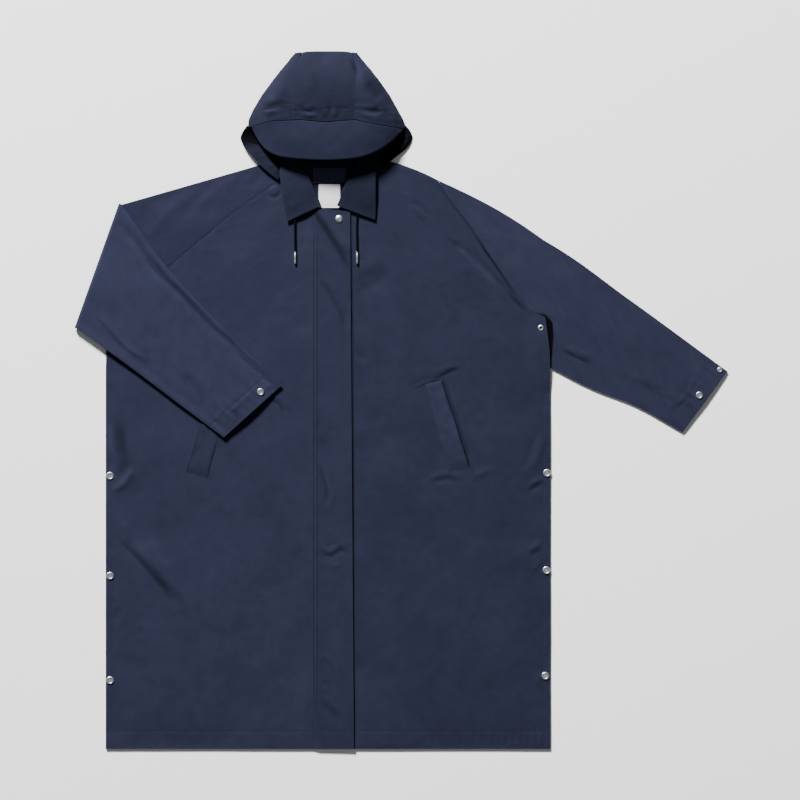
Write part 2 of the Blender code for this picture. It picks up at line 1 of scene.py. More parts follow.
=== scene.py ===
import math
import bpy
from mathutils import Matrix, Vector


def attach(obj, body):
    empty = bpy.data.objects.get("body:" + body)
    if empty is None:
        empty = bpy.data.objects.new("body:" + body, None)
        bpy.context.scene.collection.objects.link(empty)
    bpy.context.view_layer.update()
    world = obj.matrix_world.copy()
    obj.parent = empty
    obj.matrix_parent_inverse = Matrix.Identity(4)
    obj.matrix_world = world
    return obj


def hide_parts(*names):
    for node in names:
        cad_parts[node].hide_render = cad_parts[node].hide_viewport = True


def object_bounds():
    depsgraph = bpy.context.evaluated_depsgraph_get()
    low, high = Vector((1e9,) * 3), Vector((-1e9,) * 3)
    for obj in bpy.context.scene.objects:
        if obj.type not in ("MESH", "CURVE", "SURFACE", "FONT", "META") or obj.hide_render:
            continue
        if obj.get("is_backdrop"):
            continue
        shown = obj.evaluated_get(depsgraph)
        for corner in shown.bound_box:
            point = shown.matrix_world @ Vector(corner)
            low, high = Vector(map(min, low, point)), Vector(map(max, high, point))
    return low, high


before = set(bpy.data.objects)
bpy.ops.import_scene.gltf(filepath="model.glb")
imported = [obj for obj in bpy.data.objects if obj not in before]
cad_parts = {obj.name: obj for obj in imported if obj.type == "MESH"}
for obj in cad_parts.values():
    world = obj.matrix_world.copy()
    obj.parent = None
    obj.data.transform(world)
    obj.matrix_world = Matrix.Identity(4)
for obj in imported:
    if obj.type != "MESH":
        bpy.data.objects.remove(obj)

from types import SimpleNamespace

import bmesh
import bpy
import numpy as np
from mathutils import Matrix, Vector
from mathutils.bvhtree import BVHTree

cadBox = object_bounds()

# Tables are in millimetres on the coat: u runs across from the middle of the body, v up from the hem,
# and the third number is the height above the floor.
layout = {"bodyMiddleX": -131.4, "hemY": -626.4, "frontTop": 3.3, "clothWall": 0.9, "seamInset": 0.12,
          "hoodInset": 0.03}


def toFrame(points):
    return (np.asarray(points, float) + (layout["bodyMiddleX"], layout["hemY"], 0.0)) * 0.001


def ease(x):
    x = np.clip(x, 0.0, 1.0)
    return x * x * (3.0 - 2.0 * x)


def between(a, b, t):
    return np.asarray(a, float) * (1.0 - t) + np.asarray(b, float) * t


# The places along a line of points, at parameters counted in its points: straight or rounded between them.
def onLine(line, at):
    line = np.asarray(line, float)
    at = np.asarray(at, float)
    own = np.arange(len(line))
    return np.stack([np.interp(at, own, line[:, k]) for k in range(line.shape[1])], axis=-1)


def onCurve(points, at):
    points = [np.asarray(p, float) for p in points]
    at = np.asarray(at, float)
    padded = [2 * points[0] - points[1], *points, 2 * points[-1] - points[-2]]
    k = np.clip(np.floor(at).astype(int), 0, len(points) - 2)
    t = (at - k)[..., None]
    stack = np.stack(np.broadcast_arrays(*padded))
    rows = (np.arange(stack.shape[1]),) if stack.ndim == 3 else ()
    a, b, c, d = (stack[(k + n, *rows)] for n in range(4))
    return b + 0.5 * ((c - a) * t + (2 * a - 5 * b + 4 * c - d) * t**2 + (3 * b - a - 3 * c + d) * t**3)


def unit(vectors):
    return vectors / np.maximum(np.linalg.norm(vectors, axis=1, keepdims=True), 1e-9)


def lengthsOf(line):
    steps = np.linalg.norm(np.diff(np.asarray(line, float), axis=0), axis=1)
    return np.concatenate([[0.0], np.cumsum(steps)])


def evenAlong(line, shares):
    lengths = lengthsOf(line)
    return onLine(line, np.interp(shares, lengths / lengths[-1], np.arange(len(line))))


# Shares of a length at an even pitch, closer together around the places in fine.
def spread(length, pitch, fine=(), finePitch=1.3, reach=4.0):
    marks = list(np.linspace(0.0, length, max(2, round(length / pitch) + 1)))
    for place in fine:
        marks += list(np.arange(place - reach, place + reach + 0.01, finePitch))
    kept = [0.0]
    for mark in sorted(m for m in marks if 0 < m < length):
        if mark - kept[-1] > 0.7 * finePitch and length - mark > 0.7 * finePitch:
            kept.append(mark)
    return np.array([*kept, length]) / length


# Parameters, counted in a line's points, at those shares of its length.
def alongLine(line, pitch, fine=(), finePitch=1.3, reach=4.0):
    lengths = lengthsOf(line)
    corners = list(lengths[1:-1])
    shares = spread(lengths[-1], pitch, fine, finePitch, reach)
    marks = sorted({*np.round(shares * lengths[-1], 3), *np.round(corners, 3)})
    kept = [marks[0]]
    for mark in marks[1:]:
        if mark - kept[-1] > 0.5:
            kept.append(mark)
    kept[-1] = lengths[-1]
    return np.interp(kept, lengths, np.arange(len(lengths)))


# Smooth unevenness between -1 and 1 at a given size, the same on every run.
def unevenness(u, v, size, seed):
    table = np.random.default_rng(seed).uniform(-1, 1, (64, 64))
    turn = 0.6 + seed
    x = (u * math.cos(turn) - v * math.sin(turn)) / size + 500.0
    y = (u * math.sin(turn) + v * math.cos(turn)) / size + 500.0
    i, j = np.floor(x).astype(int), np.floor(y).astype(int)
    s, t = ease(x - i), ease(y - j)
    corner = lambda a, b: table[(i + a) % 64, (j + b) % 64]
    return between(*(between(corner(0, b), corner(1, b), s) for b in (0, 1)), t)


# Layers of it, each with its height, size and seed.
def crumple(u, v, *layers):
    return sum(height * unevenness(u, v, size, seed) for height, size, seed in layers)


# One soft fold along a line of (u, v) points: 1 on the line, fading to its sides and its ends.
# A lean above 0 makes the side to the right of its direction the steeper one.
def foldShape(u, v, line, width, lean):
    line = onCurve(line, np.linspace(0, len(line) - 1, 4 * (len(line) - 1) + 1))
    lengths = lengthsOf(line)
    nearest = np.full(u.shape, 1e9)
    side = np.zeros(u.shape)
    share = np.zeros(u.shape)
    for a, b, start in zip(line, line[1:], lengths):
        du, dv = b - a
        step = math.hypot(du, dv)
        t = np.clip(((u - a[0]) * du + (v - a[1]) * dv) / step**2, 0, 1)
        offU, offV = u - a[0] - t * du, v - a[1] - t * dv
        away = np.hypot(offU, offV)
        closer = away < nearest
        nearest = np.where(closer, away, nearest)
        side = np.where(closer, np.sign(du * offV - dv * offU), side)
        share = np.where(closer, (start + t * step) / lengths[-1], share)
    reach = width * (1 + lean * side)
    return np.exp(-((nearest / reach) ** 2)) * ease(share * 3.2) * ease((1 - share) * 3.2)


# Each row of the table: height, width, lean, and the u and v of the line's points by turns.
def folds(u, v, table):
    total = np.zeros(np.shape(u))
    for height, width, lean, *line in table:
        points = np.array(line, float).reshape(-1, 2)
        low, high = points.min(0) - 4 * width, points.max(0) + 4 * width
        close = (u > low[0]) & (u < high[0]) & (v > low[1]) & (v < high[1])
        if close.any():
            total[close] += height * foldShape(u[close], v[close], points, width, lean)
    return total


def groove(distance, at, width):
    return np.exp(-(((distance - at) / width) ** 2))


def near(distance, reach):
    return 1 - ease(distance / reach)


def gathers(along, wander, period):
    return np.sin((along + wander) * 2 * np.pi / period)


view = {"lens": 200.0, "sensor": 36.0, "far": 60.0, "place": (-0.0018, 0.0, 8.0)}
light = {"elevation": 30.0, "azimuth": 23.0, "distance": 10.0, "size": 2.1, "power": 4800.0,
         "fillTowards": (0.2, -0.3, 1.0), "fillDistance": 5.0, "fillSize": 4.0, "fillPower": 22.0,
         "sky": (0.93, 0.96, 1.0, 1.0), "skyStrength": 0.10}
floorLook = {"side": 12.0, "colour": (0.88, 0.88, 0.88), "below": 0.0004}


def addObject(name, data):
    made = bpy.data.objects.new(name, data)
    bpy.context.scene.collection.objects.link(made)
    return made


cameraData = bpy.data.cameras.new("overheadCamera")
cameraData.lens = view["lens"]
cameraData.sensor_width = view["sensor"]
cameraData.clip_end = view["far"]
camera = addObject("overheadCamera", cameraData)
camera.location = view["place"]
bpy.context.scene.camera = camera


def areaLight(name, towards, distance, size, power):
    data = bpy.data.lights.new(name, "AREA")
    data.shape = "DISK"
    data.size = size
    data.energy = power
    lamp = addObject(name, data)
    lamp.location = Vector(towards).normalized() * distance
    lamp.rotation_euler = lamp.location.to_track_quat("Z", "Y").to_euler()


up, turn = math.radians(light["elevation"]), math.radians(light["azimuth"])
window = (-math.sin(turn) * math.cos(up), math.cos(turn) * math.cos(up), math.sin(up))
areaLight("windowLight", window, light["distance"], light["size"], light["power"])
areaLight("fillLight", light["fillTowards"], light["fillDistance"], light["fillSize"], light["fillPower"])
world = bpy.data.worlds.new("paleRoom")
world.use_nodes = True
background = world.node_tree.nodes["Background"].inputs
background["Color"].default_value = light["sky"]
background["Strength"].default_value = light["skyStrength"]
bpy.context.scene.world = world
print("camera and light set")


# A shader value that takes part in sums.
class Signal:
    def __init__(self, finish, socket):
        self.finish = finish
        self.socket = socket

    def maths(self, operation, *others):
        return self.finish.node("ShaderNodeMath", {"operation": operation}, dict(enumerate((self, *others))))

    def __add__(self, other):
        return self.maths("ADD", other)

    def __sub__(self, other):
        return self.maths("SUBTRACT", other)

    def __mul__(self, other):
        return self.maths("MULTIPLY", other)

    def sine(self):
        return self.maths("SINE")

    def atLeast(self, low):
        return self.maths("MAXIMUM", low)


class Finish:
    def __init__(self, name, settings):
        self.material = bpy.data.materials.new(name)
        self.material.use_nodes = True
        self.tree = self.material.node_tree
        self.shader = self.tree.nodes["Principled BSDF"]
        for socket, value in settings.items():
            self.feed(socket, value)

    def join(self, socket, value):
        if isinstance(value, Signal):
            self.tree.links.new(value.socket, socket)
        else:
            socket.default_value = value

    def feed(self, socket, value):
        self.join(self.shader.inputs[socket], value)

    # Any node: its settings are set before its sockets.
    def node(self, kind, settings=None, sockets=None, output=0):
        made = self.tree.nodes.new(kind)
        for key, value in (settings or {}).items():
            setattr(made, key, value)
        for socket, value in (sockets or {}).items():
            self.join(made.inputs[socket], value)
        return Signal(self, made.outputs[output])

    def surface(self):
        return self.node("ShaderNodeUVMap", {"uv_map": "cloth"})

    def objectPlace(self):
        return self.node("ShaderNodeTexCoord", output=3)

    def attribute(self, name):
        return self.node("ShaderNodeAttribute", {"attribute_name": name}, output=2)

    def parts(self, vector):
        split = self.node("ShaderNodeSeparateXYZ", None, {0: vector}).socket.node
        return [Signal(self, output) for output in split.outputs]

    def noise(self, vector, scale, detail=2.0, roughness=0.5):
        return self.node("ShaderNodeTexNoise", None, {"Vector": vector, "Scale": scale, "Detail": detail,
                                                       "Roughness": roughness})

    # Noise that is drawn out: its scale differs along the three axes.
    def grain(self, vector, scales, detail):
        drawn = self.node("ShaderNodeVectorMath", {"operation": "MULTIPLY"}, {0: vector, 1: scales})
        return self.noise(drawn, 1.0, detail, 0.6)

    def blend(self, share, first, second):
        return self.node("ShaderNodeMix", {"data_type": "RGBA"}, {0: share, 6: first, 7: second}, output=2)

    def bump(self, height, strength, distance):
        self.feed("Normal", self.node("ShaderNodeBump", None, {"Strength": strength, "Distance": distance,
                                                               "Height": height}))


rainCloth = {"colour": (0.0110, 0.0124, 0.0252, 1.0), "lighter": (0.0150, 0.0167, 0.0328, 1.0),
             "rough": 0.84, "specular": 0.04, "threadsPerMetre": 2100.0, "weaveHeight": 0.00012,
             "crinkle": 0.5, "edgeLightening": 0.08}


def makeRainCloth(name, settings):
    finish = Finish(name, {"Specular IOR Level": settings["specular"]})
    place = finish.surface()
    across, along, _ = finish.parts(place)
    turns = math.pi * settings["threadsPerMetre"]
    weave = (across * turns).sine() * (along * turns).sine()
    soft = finish.noise(place, 5.0, 3.0, 0.55) - 0.5
    patches = finish.noise(place, 15.0) - 0.5
    mottle = finish.noise(place, 55.0, 4.0, 0.6) - 0.5
    slub = finish.grain(place, (40.0, 900.0, 1.0), 2.0) - 0.5
    # Lighter within a few millimetres of the cut edges.
    edgeLightening = (finish.attribute("edgeDistance") * -0.45).maths("EXPONENT") * settings["edgeLightening"]
    share = soft * 1.3 + patches * 1.1 + mottle * 1.4 + slub * 0.5 + edgeLightening + 0.35
    colour = finish.blend(share.atLeast(0.0), settings["colour"], settings["lighter"])
    # Each piece's own tone, with painted shade in creases, troughs and shadowed places and painted highlight
    # on ridges, scales the colour.
    toneAndShade = finish.attribute("toneAndShade") + 1.0
    shaded = finish.node("ShaderNodeVectorMath", {"operation": "SCALE"}, {0: colour, 3: toneAndShade})
    finish.feed("Base Color", shaded)
    finish.feed("Roughness", mottle * 0.16 + soft * 0.08 + settings["rough"])
    crinkle = (finish.noise(place, 130.0, 3.0) - 0.5) * settings["crinkle"]
    finish.bump(weave * 0.16 + crinkle + mottle * 0.8, 0.55, settings["weaveHeight"])
    return finish.material


labelCloth = {"colour": (0.60, 0.61, 0.60, 1.0), "shade": (0.47, 0.48, 0.48, 1.0), "ribs": 1500.0}


def makeLabelCloth(name, settings):
    finish = Finish(name, {"Sheen Weight": 0.2, "Specular IOR Level": 0.3})
    place = finish.surface()
    across, along, _ = finish.parts(place)
    ribs = (along * (math.pi * settings["ribs"])).sine()
    threads = (across * (math.pi * settings["ribs"] * 1.3)).sine()
    fibre = finish.noise(place, 700.0, 3.0, 0.6)
    share = (ribs * 0.22 + fibre * 0.5 + finish.noise(place, 60.0) * 0.3).atLeast(0.0)
    finish.feed("Base Color", finish.blend(share, settings["colour"], settings["shade"]))
    finish.feed("Roughness", fibre * 0.2 + 0.66)
    finish.bump(ribs * 0.6 + threads * 0.25 + fibre * 0.4, 0.6, 0.0001)
    return finish.material


snapMetal = {"colour": (0.50, 0.51, 0.54, 1.0), "dull": (0.28, 0.29, 0.31, 1.0), "rough": 0.22}


def makeSnapMetal(name, settings):
    finish = Finish(name, {"Metallic": 1.0})
    place = finish.objectPlace()
    haze = finish.noise(place, 420.0, 4.0, 0.6)
    grain = finish.grain(place, (400.0, 5200.0, 900.0), 3.0)
    share = (haze - 0.42).atLeast(0.0) * 2.4
    finish.feed("Base Color", finish.blend(share, settings["colour"], settings["dull"]))
    finish.feed("Roughness", haze * 0.22 + grain * 0.12 + settings["rough"])
    finish.bump(grain * 0.6 + haze * 0.5, 0.35, 0.00006)
    return finish.material


blackCord = {"colour": (0.0016, 0.0017, 0.0024, 1.0), "lighter": (0.0050, 0.0054, 0.0075, 1.0),
         "round": 25.13, "twist": 1450.0}


def makeBlackCord(name, settings):
    finish = Finish(name, {"Specular IOR Level": 0.02})
    place = finish.surface()
    across, along, _ = finish.parts(place)
    strands = [(across * settings["round"] + along * (way * settings["twist"])).sine() for way in (1, -1)]
    braid = strands[0].atLeast(strands[1])
    fibre = finish.noise(place, 900.0, 2.0, 0.6)
    share = (braid * 0.4 + fibre * 0.4).atLeast(0.0)
    finish.feed("Base Color", finish.blend(share, settings["colour"], settings["lighter"]))
    finish.feed("Roughness", fibre * 0.2 + 0.62)
    finish.bump(braid * 0.8 + fibre * 0.3, 0.8, 0.00025)
    return finish.material


sewingThread = {"colour": (0.0080, 0.0098, 0.0220, 1.0), "lighter": (0.0130, 0.0155, 0.0330, 1.0)}
labelThread = {"colour": (0.50, 0.51, 0.50, 1.0), "lighter": (0.62, 0.63, 0.62, 1.0)}


def makeSewingThread(name, settings):
    finish = Finish(name, {"Specular IOR Level": 0.15})
    twist = finish.noise(finish.objectPlace(), 2600.0)
    finish.feed("Base Color", finish.blend(twist, settings["colour"], settings["lighter"]))
    finish.feed("Roughness", twist * 0.3 + 0.4)
    finish.bump(twist, 0.4, 0.0001)
    return finish.material


def makeFloor(name, settings):
    finish = Finish(name, {"Roughness": 0.9, "Specular IOR Level": 0.1})
    darker, plain = ((*[c * share for c in settings["colour"]], 1.0) for share in (0.985, 1.0))
    finish.feed("Base Color", finish.blend(finish.noise(finish.objectPlace(), 0.8), darker, plain))
    return finish.material


clothMaterial = makeRainCloth("navyRainCloth", rainCloth)
labelMaterial = makeLabelCloth("wovenLabel", labelCloth)
metalMaterial = makeSnapMetal("snapMetal", snapMetal)
cordMaterial = makeBlackCord("braidedCord", blackCord)
threadMaterial = makeSewingThread("sewingThread", sewingThread)
labelThreadMaterial = makeSewingThread("labelThread", labelThread)


# The object that a bmesh becomes, with one material.
def asObject(name, bm, material):
    mesh = bpy.data.meshes.new(name)
    bm.to_mesh(mesh)
    bm.free()
    mesh.materials.append(material)
    return addObject(name, mesh)


bm = bmesh.new()
bmesh.ops.create_grid(bm, x_segments=1, y_segments=1, size=floorLook["side"] / 2,
                      matrix=Matrix.Translation((0, 0, -floorLook["below"])))
asObject("floor", bm, makeFloor("paleFloor", floorLook))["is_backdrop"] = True
print("finishes made")


def addPiece(name, bm, material, nodes=()):
    piece = asObject(name, bm, material)
    piece.data.polygons.foreach_set("use_smooth", [True] * len(piece.data.polygons))
    if nodes:
        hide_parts(*nodes)
    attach(piece, "root")
    return piece


surfaces = {}
sewn = {}
# How much lighter or darker than the body each piece is coloured: partly the cloth's own tone, partly painted
# shade, as on the hood, darkened against the light falling on its slopes.
pieceToneAndShade = {"sleeve_right_back": 0.19, "sleeve_left_front": 0.10, "hood_centre": -0.33, "hood_left": -0.17,
              "hood_right": -0.31, "hood_visor": 0.02, "collar_left": -0.33, "collar_right": -0.16,
              "sleeve_right_front": 0.02, "front_right": 0.05, "front_left": -0.03, "neck_facing": 2.0}


# The sides, in metres, of the smallest rectangle a cut fits in.
def cutSize(plan):
    spots = plan.reshape(-1, 2)
    best = None
    for angle in np.linspace(0, math.pi / 2, 91):
        along = spots[:, 0] * math.cos(angle) + spots[:, 1] * math.sin(angle)
        across = spots[:, 1] * math.cos(angle) - spots[:, 0] * math.sin(angle)
        sides = (float(np.ptp(along)) * 0.001, float(np.ptp(across)) * 0.001)
        if best is None or sides[0] * sides[1] < best[0] * best[1]:
            best = sides
    return round(best[0] + 0.0001, 4), round(best[1] + 0.0001, 4)


# A cloth piece from a grid of points on the side that shows. The face at the cell called look points up or
# down (faces 1 or -1), relief gives heights along the normals, and kept says which cells the piece has.
def clothSheet(name, grid, relief=None, look=(0, 0), faces=1, kept=None, wall=layout["clothWall"],
               material=clothMaterial, flatPlan="laid", toneAndShade=None, paintedShading=()):
    grid = np.asarray(grid, float)
    rows, columns = grid.shape[:2]
    cells = np.ones((rows - 1, columns - 1), bool) if kept is None else kept
    cellNormals = np.cross(grid[1:, 1:] - grid[:-1, :-1], grid[1:, :-1] - grid[:-1, 1:])
    turned = cellNormals[look][2] * faces < 0
    cellNormals = (-cellNormals if turned else cellNormals) * cells[..., None]
    normals = np.zeros(grid.shape)
    for r in (0, 1):
        for c in (0, 1):
            normals[r:rows - 1 + r, c:columns - 1 + c] += cellNormals
    sizes = np.linalg.norm(normals, axis=2, keepdims=True)
    normals = normals / np.where(sizes > 0, sizes, 1)
    left = np.pad(np.cumsum(np.linalg.norm(np.diff(grid, axis=1), axis=2), 1), ((0, 0), (1, 0)))
    low = np.pad(np.cumsum(np.linalg.norm(np.diff(grid, axis=0), axis=2), 0), ((1, 0), (0, 0)))
    at = SimpleNamespace(u=grid[..., 0], v=grid[..., 1], h=grid[..., 2], left=left, right=left[:, -1:] - left,
                         low=low, high=low[-1:] - low)
    points = grid + normals * relief(at)[..., None] if relief else grid.copy()
    inset = layout["hoodInset" if name.startswith("hood") else "seamInset"]
    for edge, inner in ((np.s_[:, 0], np.s_[:, 1]), (np.s_[:, -1], np.s_[:, -2]), (np.s_[0], np.s_[1]),
                        (np.s_[-1], np.s_[-2])):
        steps = points[inner] - points[edge]
        points[edge] += steps * inset / np.maximum(np.linalg.norm(steps, axis=1, keepdims=True), inset * 2)
    edgeDistance = np.minimum(np.minimum(at.left, at.right), np.minimum(at.low, at.high))
    placed = toFrame(points)
    # Each vertex's tone: the piece's tone from the table or its tone function, both partly painted shade and
    # highlight, plus painted crease shade and ridge highlight from the given table.
    toneAndShadeValues = np.zeros((rows, columns)) + (toneAndShade(at) if toneAndShade else pieceToneAndShade.get(name, 0.0))
    toneAndShadeValues = toneAndShadeValues + folds(at.u, at.v, paintedShading)
    spans = np.stack([left - left[:, columns // 2][:, None], low], axis=-1)
    bm = bmesh.new()
    bmesh.ops.create_grid(bm, x_segments=columns - 1, y_segments=rows - 1, size=0.5)
    distanceLayer = bm.verts.layers.float.new("edgeDistance")
    toneShadeLayer = bm.verts.layers.float.new("toneAndShade")
    uvLayer = bm.loops.layers.uv.new("cloth")
    for vert, place, distance, shade in zip(bm.verts, placed.reshape(-1, 3), edgeDistance.flat, toneAndShadeValues.flat):
        vert.co, vert[distanceLayer], vert[toneShadeLayer] = place, distance, shade
    bm.verts.index_update()
    flatPlaces = spans.reshape(-1, 2) * 0.001
    for face in bm.faces:
        for loop in face.loops:
            loop[uvLayer].uv = flatPlaces[loop.vert.index]
    dropped = [f for f in bm.faces if not cells[divmod(min(v.index for v in f.verts), columns)]]
    bmesh.ops.delete(bm, geom=dropped, context="FACES")
    if turned:
        bmesh.ops.reverse_faces(bm, faces=bm.faces)
    for edge in bm.edges:
        edge.smooth = not edge.is_boundary
    surfaces[name] = BVHTree.FromBMesh(bm)
    sewn[name] = SimpleNamespace(points=placed, normals=normals, at=at)
    piece = addPiece(name + "_cloth", bm, material, [name])
    solidify = piece.modifiers.new("wall", "SOLIDIFY")
    solidify.thickness = wall * 0.001
    solidify.offset = -1.0
    solidify.use_even_offset = True
    plans = {"laid": grid[..., :2], "spans": spans}
    flat = cutSize(plans[flatPlan] if isinstance(flatPlan, str) else flatPlan)


# A grid from its columns: the places of each column's points, and their heights.
def fromColumns(columns):
    return np.stack([np.hstack([place, height * np.ones((len(place), 1))]) for place, height in columns],
                    axis=1)


drawcord = {"radius": 1.6, "sides": 14, "height": 5.9, "agletRadius": 2.1, "agletLength": 22.0, "gap": 0.3,
            "right": [(-56, 978), (-58, 965), (-59.5, 945), (-59.5, 920), (-59, 893)],
            "left": [(54, 980), (53, 966), (52, 945), (52, 920), (52.5, 893)]}


def aimed(place, axis, spin):
    return Matrix.Translation(Vector(place)) @ Vector(axis).to_track_quat("Z", spin).to_matrix().to_4x4()


# A round cord; its finish runs round it and along it.
def braidAlong(name, route, nodes):
    bm = bmesh.new()
    uvLayer = bm.loops.layers.uv.new("cloth")
    rings = []
    for k, place in enumerate(route):
        ahead = route[min(k + 1, len(route) - 1)] - route[max(k - 1, 0)]
        ring = bmesh.ops.create_circle(bm, segments=drawcord["sides"], radius=drawcord["radius"] * 0.001,
                                       matrix=aimed(place, ahead, "X"))
        rings.append(ring["verts"])
    spots = {v: (n / drawcord["sides"], length) for ring, length in zip(rings, lengthsOf(route))
             for n, v in enumerate(ring)}
    for pair in zip(rings, rings[1:]):
        edges = {e: None for ring in pair for v in ring for e in v.link_edges if e.other_vert(v) in ring}
        bmesh.ops.bridge_loops(bm, edges=list(edges))
    for ring in (rings[0], rings[-1]):
        bmesh.ops.contextual_create(bm, geom=ring)
    bmesh.ops.recalc_face_normals(bm, faces=bm.faces)
    for face in bm.faces:
        for loop in face.loops:
            loop[uvLayer].uv = spots[loop.vert]
    return addPiece(name, bm, cordMaterial, nodes)


# A metal piece turned from a profile of (radius, height), standing along an axis.
def turnedShape(name, profile, place, axis, steps, node):
    bm = bmesh.new()
    verts = [bm.verts.new((r * 0.001, 0.0, h * 0.001)) for r, h in profile]
    edges = [bm.edges.new(pair) for pair in zip(verts, verts[1:])]
    bmesh.ops.spin(bm, geom=[*verts, *edges], cent=(0, 0, 0), axis=(0, 0, 1), angle=2 * math.pi, steps=steps,
                   use_merge=True)
    bmesh.ops.remove_doubles(bm, verts=bm.verts, dist=0.000005)
    bmesh.ops.recalc_face_normals(bm, faces=bm.faces)
    bmesh.ops.transform(bm, matrix=aimed(place, axis, "Y"), verts=bm.verts)
    piece = addPiece(name, bm, metalMaterial, [node])
    piece.data.set_sharp_from_angle(angle=math.radians(38))
    return piece


far, r = drawcord["agletLength"], drawcord["agletRadius"]
# a crimped metal tip: a rolled mouth, a waist where it grips the cord, and a rounded end
agletProfile = [(0.0, 0.0), (1.3, 0.0), (r - 0.15, 0.15), (r, 0.5), (r, 1.0), (r - 0.35, 1.5),
                (r - 0.35, 2.4), (r, 2.9), (r, 14.0), (r - 0.12, 14.6), (r - 0.12, 15.2), (r, 15.8),
                (r, far - 1.4), (r - 0.35, far - 0.6), (r - 0.9, far - 0.15), (0.0, far)]
for side in ("right", "left"):
    line = [(*p, drawcord["height"]) for p in drawcord[side]]
    route = toFrame(onCurve(line, np.linspace(0, len(line) - 1, 61)))
    lastU, lastV, height = line[-1]
    mouth = toFrame((lastU, lastV - drawcord["gap"], height))
    aglet = turnedShape(f"aglet_{side}_tip", agletProfile, mouth, (0, -1, 0), 24, f"aglet_{side}")
    cord = braidAlong(f"drawcord_{side}_braid", route, [f"drawcord_{side}"])
print("drawcords made")


front = {
    "closureU": 8.0, "turnV": 800.0, "hemV": -1.5, "half": 400.0, "loft": 1.5, "loftFade": 90.0,
    "hemStitches": 31.5, "seamStitches": 7.0, "vent": (33, 684),
    "raglanLeft": [(198, 1022), (209, 1001), (225, 977), (255, 939), (292, 886), (328, 833), (344, 812),
                   (363, 789), (391, 776)],
    "raglanRight": [(-88, 1021), (-101, 1012), (-117, 1003), (-153, 977), (-188, 950), (-232, 913),
                    (-278, 873), (-335, 824), (-391, 776)],
    "side": [(391, 776), (395, 747), (399, 716), (400, 684)],
    "neckLeft": [(8, 961), (27, 966), (43, 977), (58, 994), (68, 1015), (74, 1035), (77, 1053)],
    "neckRight": [(8, 961), (-11, 966), (-27, 977), (-42, 992), (-56, 1006), (-70, 1016)],
    "shoulderLeft": [(198, 1022), (176, 1033), (157, 1041), (130, 1051), (108, 1056)],
    "loftLineLeft": (1268.0, 1.26), "loftLineRight": (1092.0, 0.81),
    "armpitLift": 4.5, "armpitLiftFrom": 640.0, "armpitV": 776.0,
    "hemDepth": 30.0, "ventDepth": 13.0, "pitch": 3.2,
    "broadFolds": [(-372, 390, -270, 262, 70, 2.4), (-392, 520, -330, 470, 60, 1.8),
                   (300, 905, 250, 820, 70, 1.6), (370, 380, 330, 300, 70, 1.5),
                   (-120, 600, -70, 500, 80, 1.4)],
}
frontFolds = [
    (-1.1, 4, 0.3, -105, 626, -87, 617, -76, 599), (0.7, 5, 0, -101, 634, -80, 624, -68, 604),
    (-2.5, 7, 0.4, -380, 380, -336, 332, -302, 295, -264, 248),
    (1.8, 10, 0, -356, 374, -322, 336, -290, 302, -258, 262),
    (-1.1, 6, 0.2, -318, 312, -292, 284, -270, 250),
    (-2.7, 8.5, 0.2, -382, 584, -374, 545, -368, 505, -384, 478),
    (2.3, 6.5, 0, -351, 514, -358, 491, -374, 471, -395, 462), (1.2, 9, 0, -352, 560, -358, 530, -356, 500),
    (1.7, 24, 0, -386, 590, -376, 545, -370, 505, -384, 450), (1, 9, 0, -364, 415, -362, 360),
    (-0.9, 6, 0, -380, 255, -378, 225),
    (-1, 5.5, 0.3, 218, 926, 236, 902, 255, 886, 286, 857, 301, 841, 330, 815, 340, 804),
    (0.9, 6.5, 0, 230, 934, 256, 909, 290, 871, 319, 837, 342, 814),
    (-1.1, 4, 0, 228, 912, 238, 900, 246, 893), (0.9, 6, 0, 142, 979, 160, 967, 176, 949),
    (-0.7, 5, 0, 150, 986, 168, 972, 186, 952), (0.8, 5, 0, 137, 1001, 148, 990, 151, 976),
    (-1.2, 17, 0, 43, 821, 68, 835, 95, 848, 118, 857), (0.8, 14, 0, 46, 852, 74, 866, 104, 880),
    (-0.9, 6, 0, 43, 713, 54, 707, 66, 695), (-0.9, 4.5, 0, 147, 652, 163, 657, 185, 664, 206, 668),
    (1, 5, 0, 198, 674, 214, 683, 234, 688), (-0.8, 4, 0, 196, 666, 212, 675, 232, 680),
    (-2, 3.6, 0.5, 202, 672, 207, 655, 214, 632, 221, 608, 230, 589, 239, 553, 248, 531, 258, 498),
    (1.1, 6, 0, 214, 668, 226, 628, 242, 580, 262, 524),
    (0.9, 5, 0, 176, 484, 194, 489, 212, 494, 229, 491, 250, 482),
    (-0.8, 4, 0, 186, 478, 212, 483, 232, 480), (1, 6, 0, 258, 484, 277, 495, 297, 501),
    (1.4, 8, 0.2, 366, 494, 380, 530, 390, 572), (-1, 7, 0, 352, 500, 366, 536, 376, 570),
    (1.3, 5, 0, 360, 470, 376, 481, 392, 484), (-1.2, 4, 0, 362, 462, 376, 471, 388, 474),
    (1.2, 5, 0, 362, 353, 373, 362, 384, 370), (-0.9, 5, 0, 360, 344, 373, 352, 386, 358),
    (1, 5, 0, 365, 318, 376, 328, 385, 340), (0.8, 6, 0, 370, 112, 380, 126, 391, 134),
    (0.6, 26, 0, 120, 560, 150, 470, 140, 380), (-0.6, 30, 0, 200, 420, 260, 300, 250, 180),
    (0.6, 30, 0, -140, 420, -190, 300, -180, 180), (-0.6, 28, 0, -240, 480, -200, 380, -230, 260),
    (0.7, 24, 0, 80, 800, 130, 740, 120, 660), (-0.5, 22, 0, -150, 820, -100, 760, -90, 690),
]
raglanLine = (186, 1040, 201, 1011, 228, 975, 255, 939, 282, 897, 309, 858, 334, 820, 348, 800)
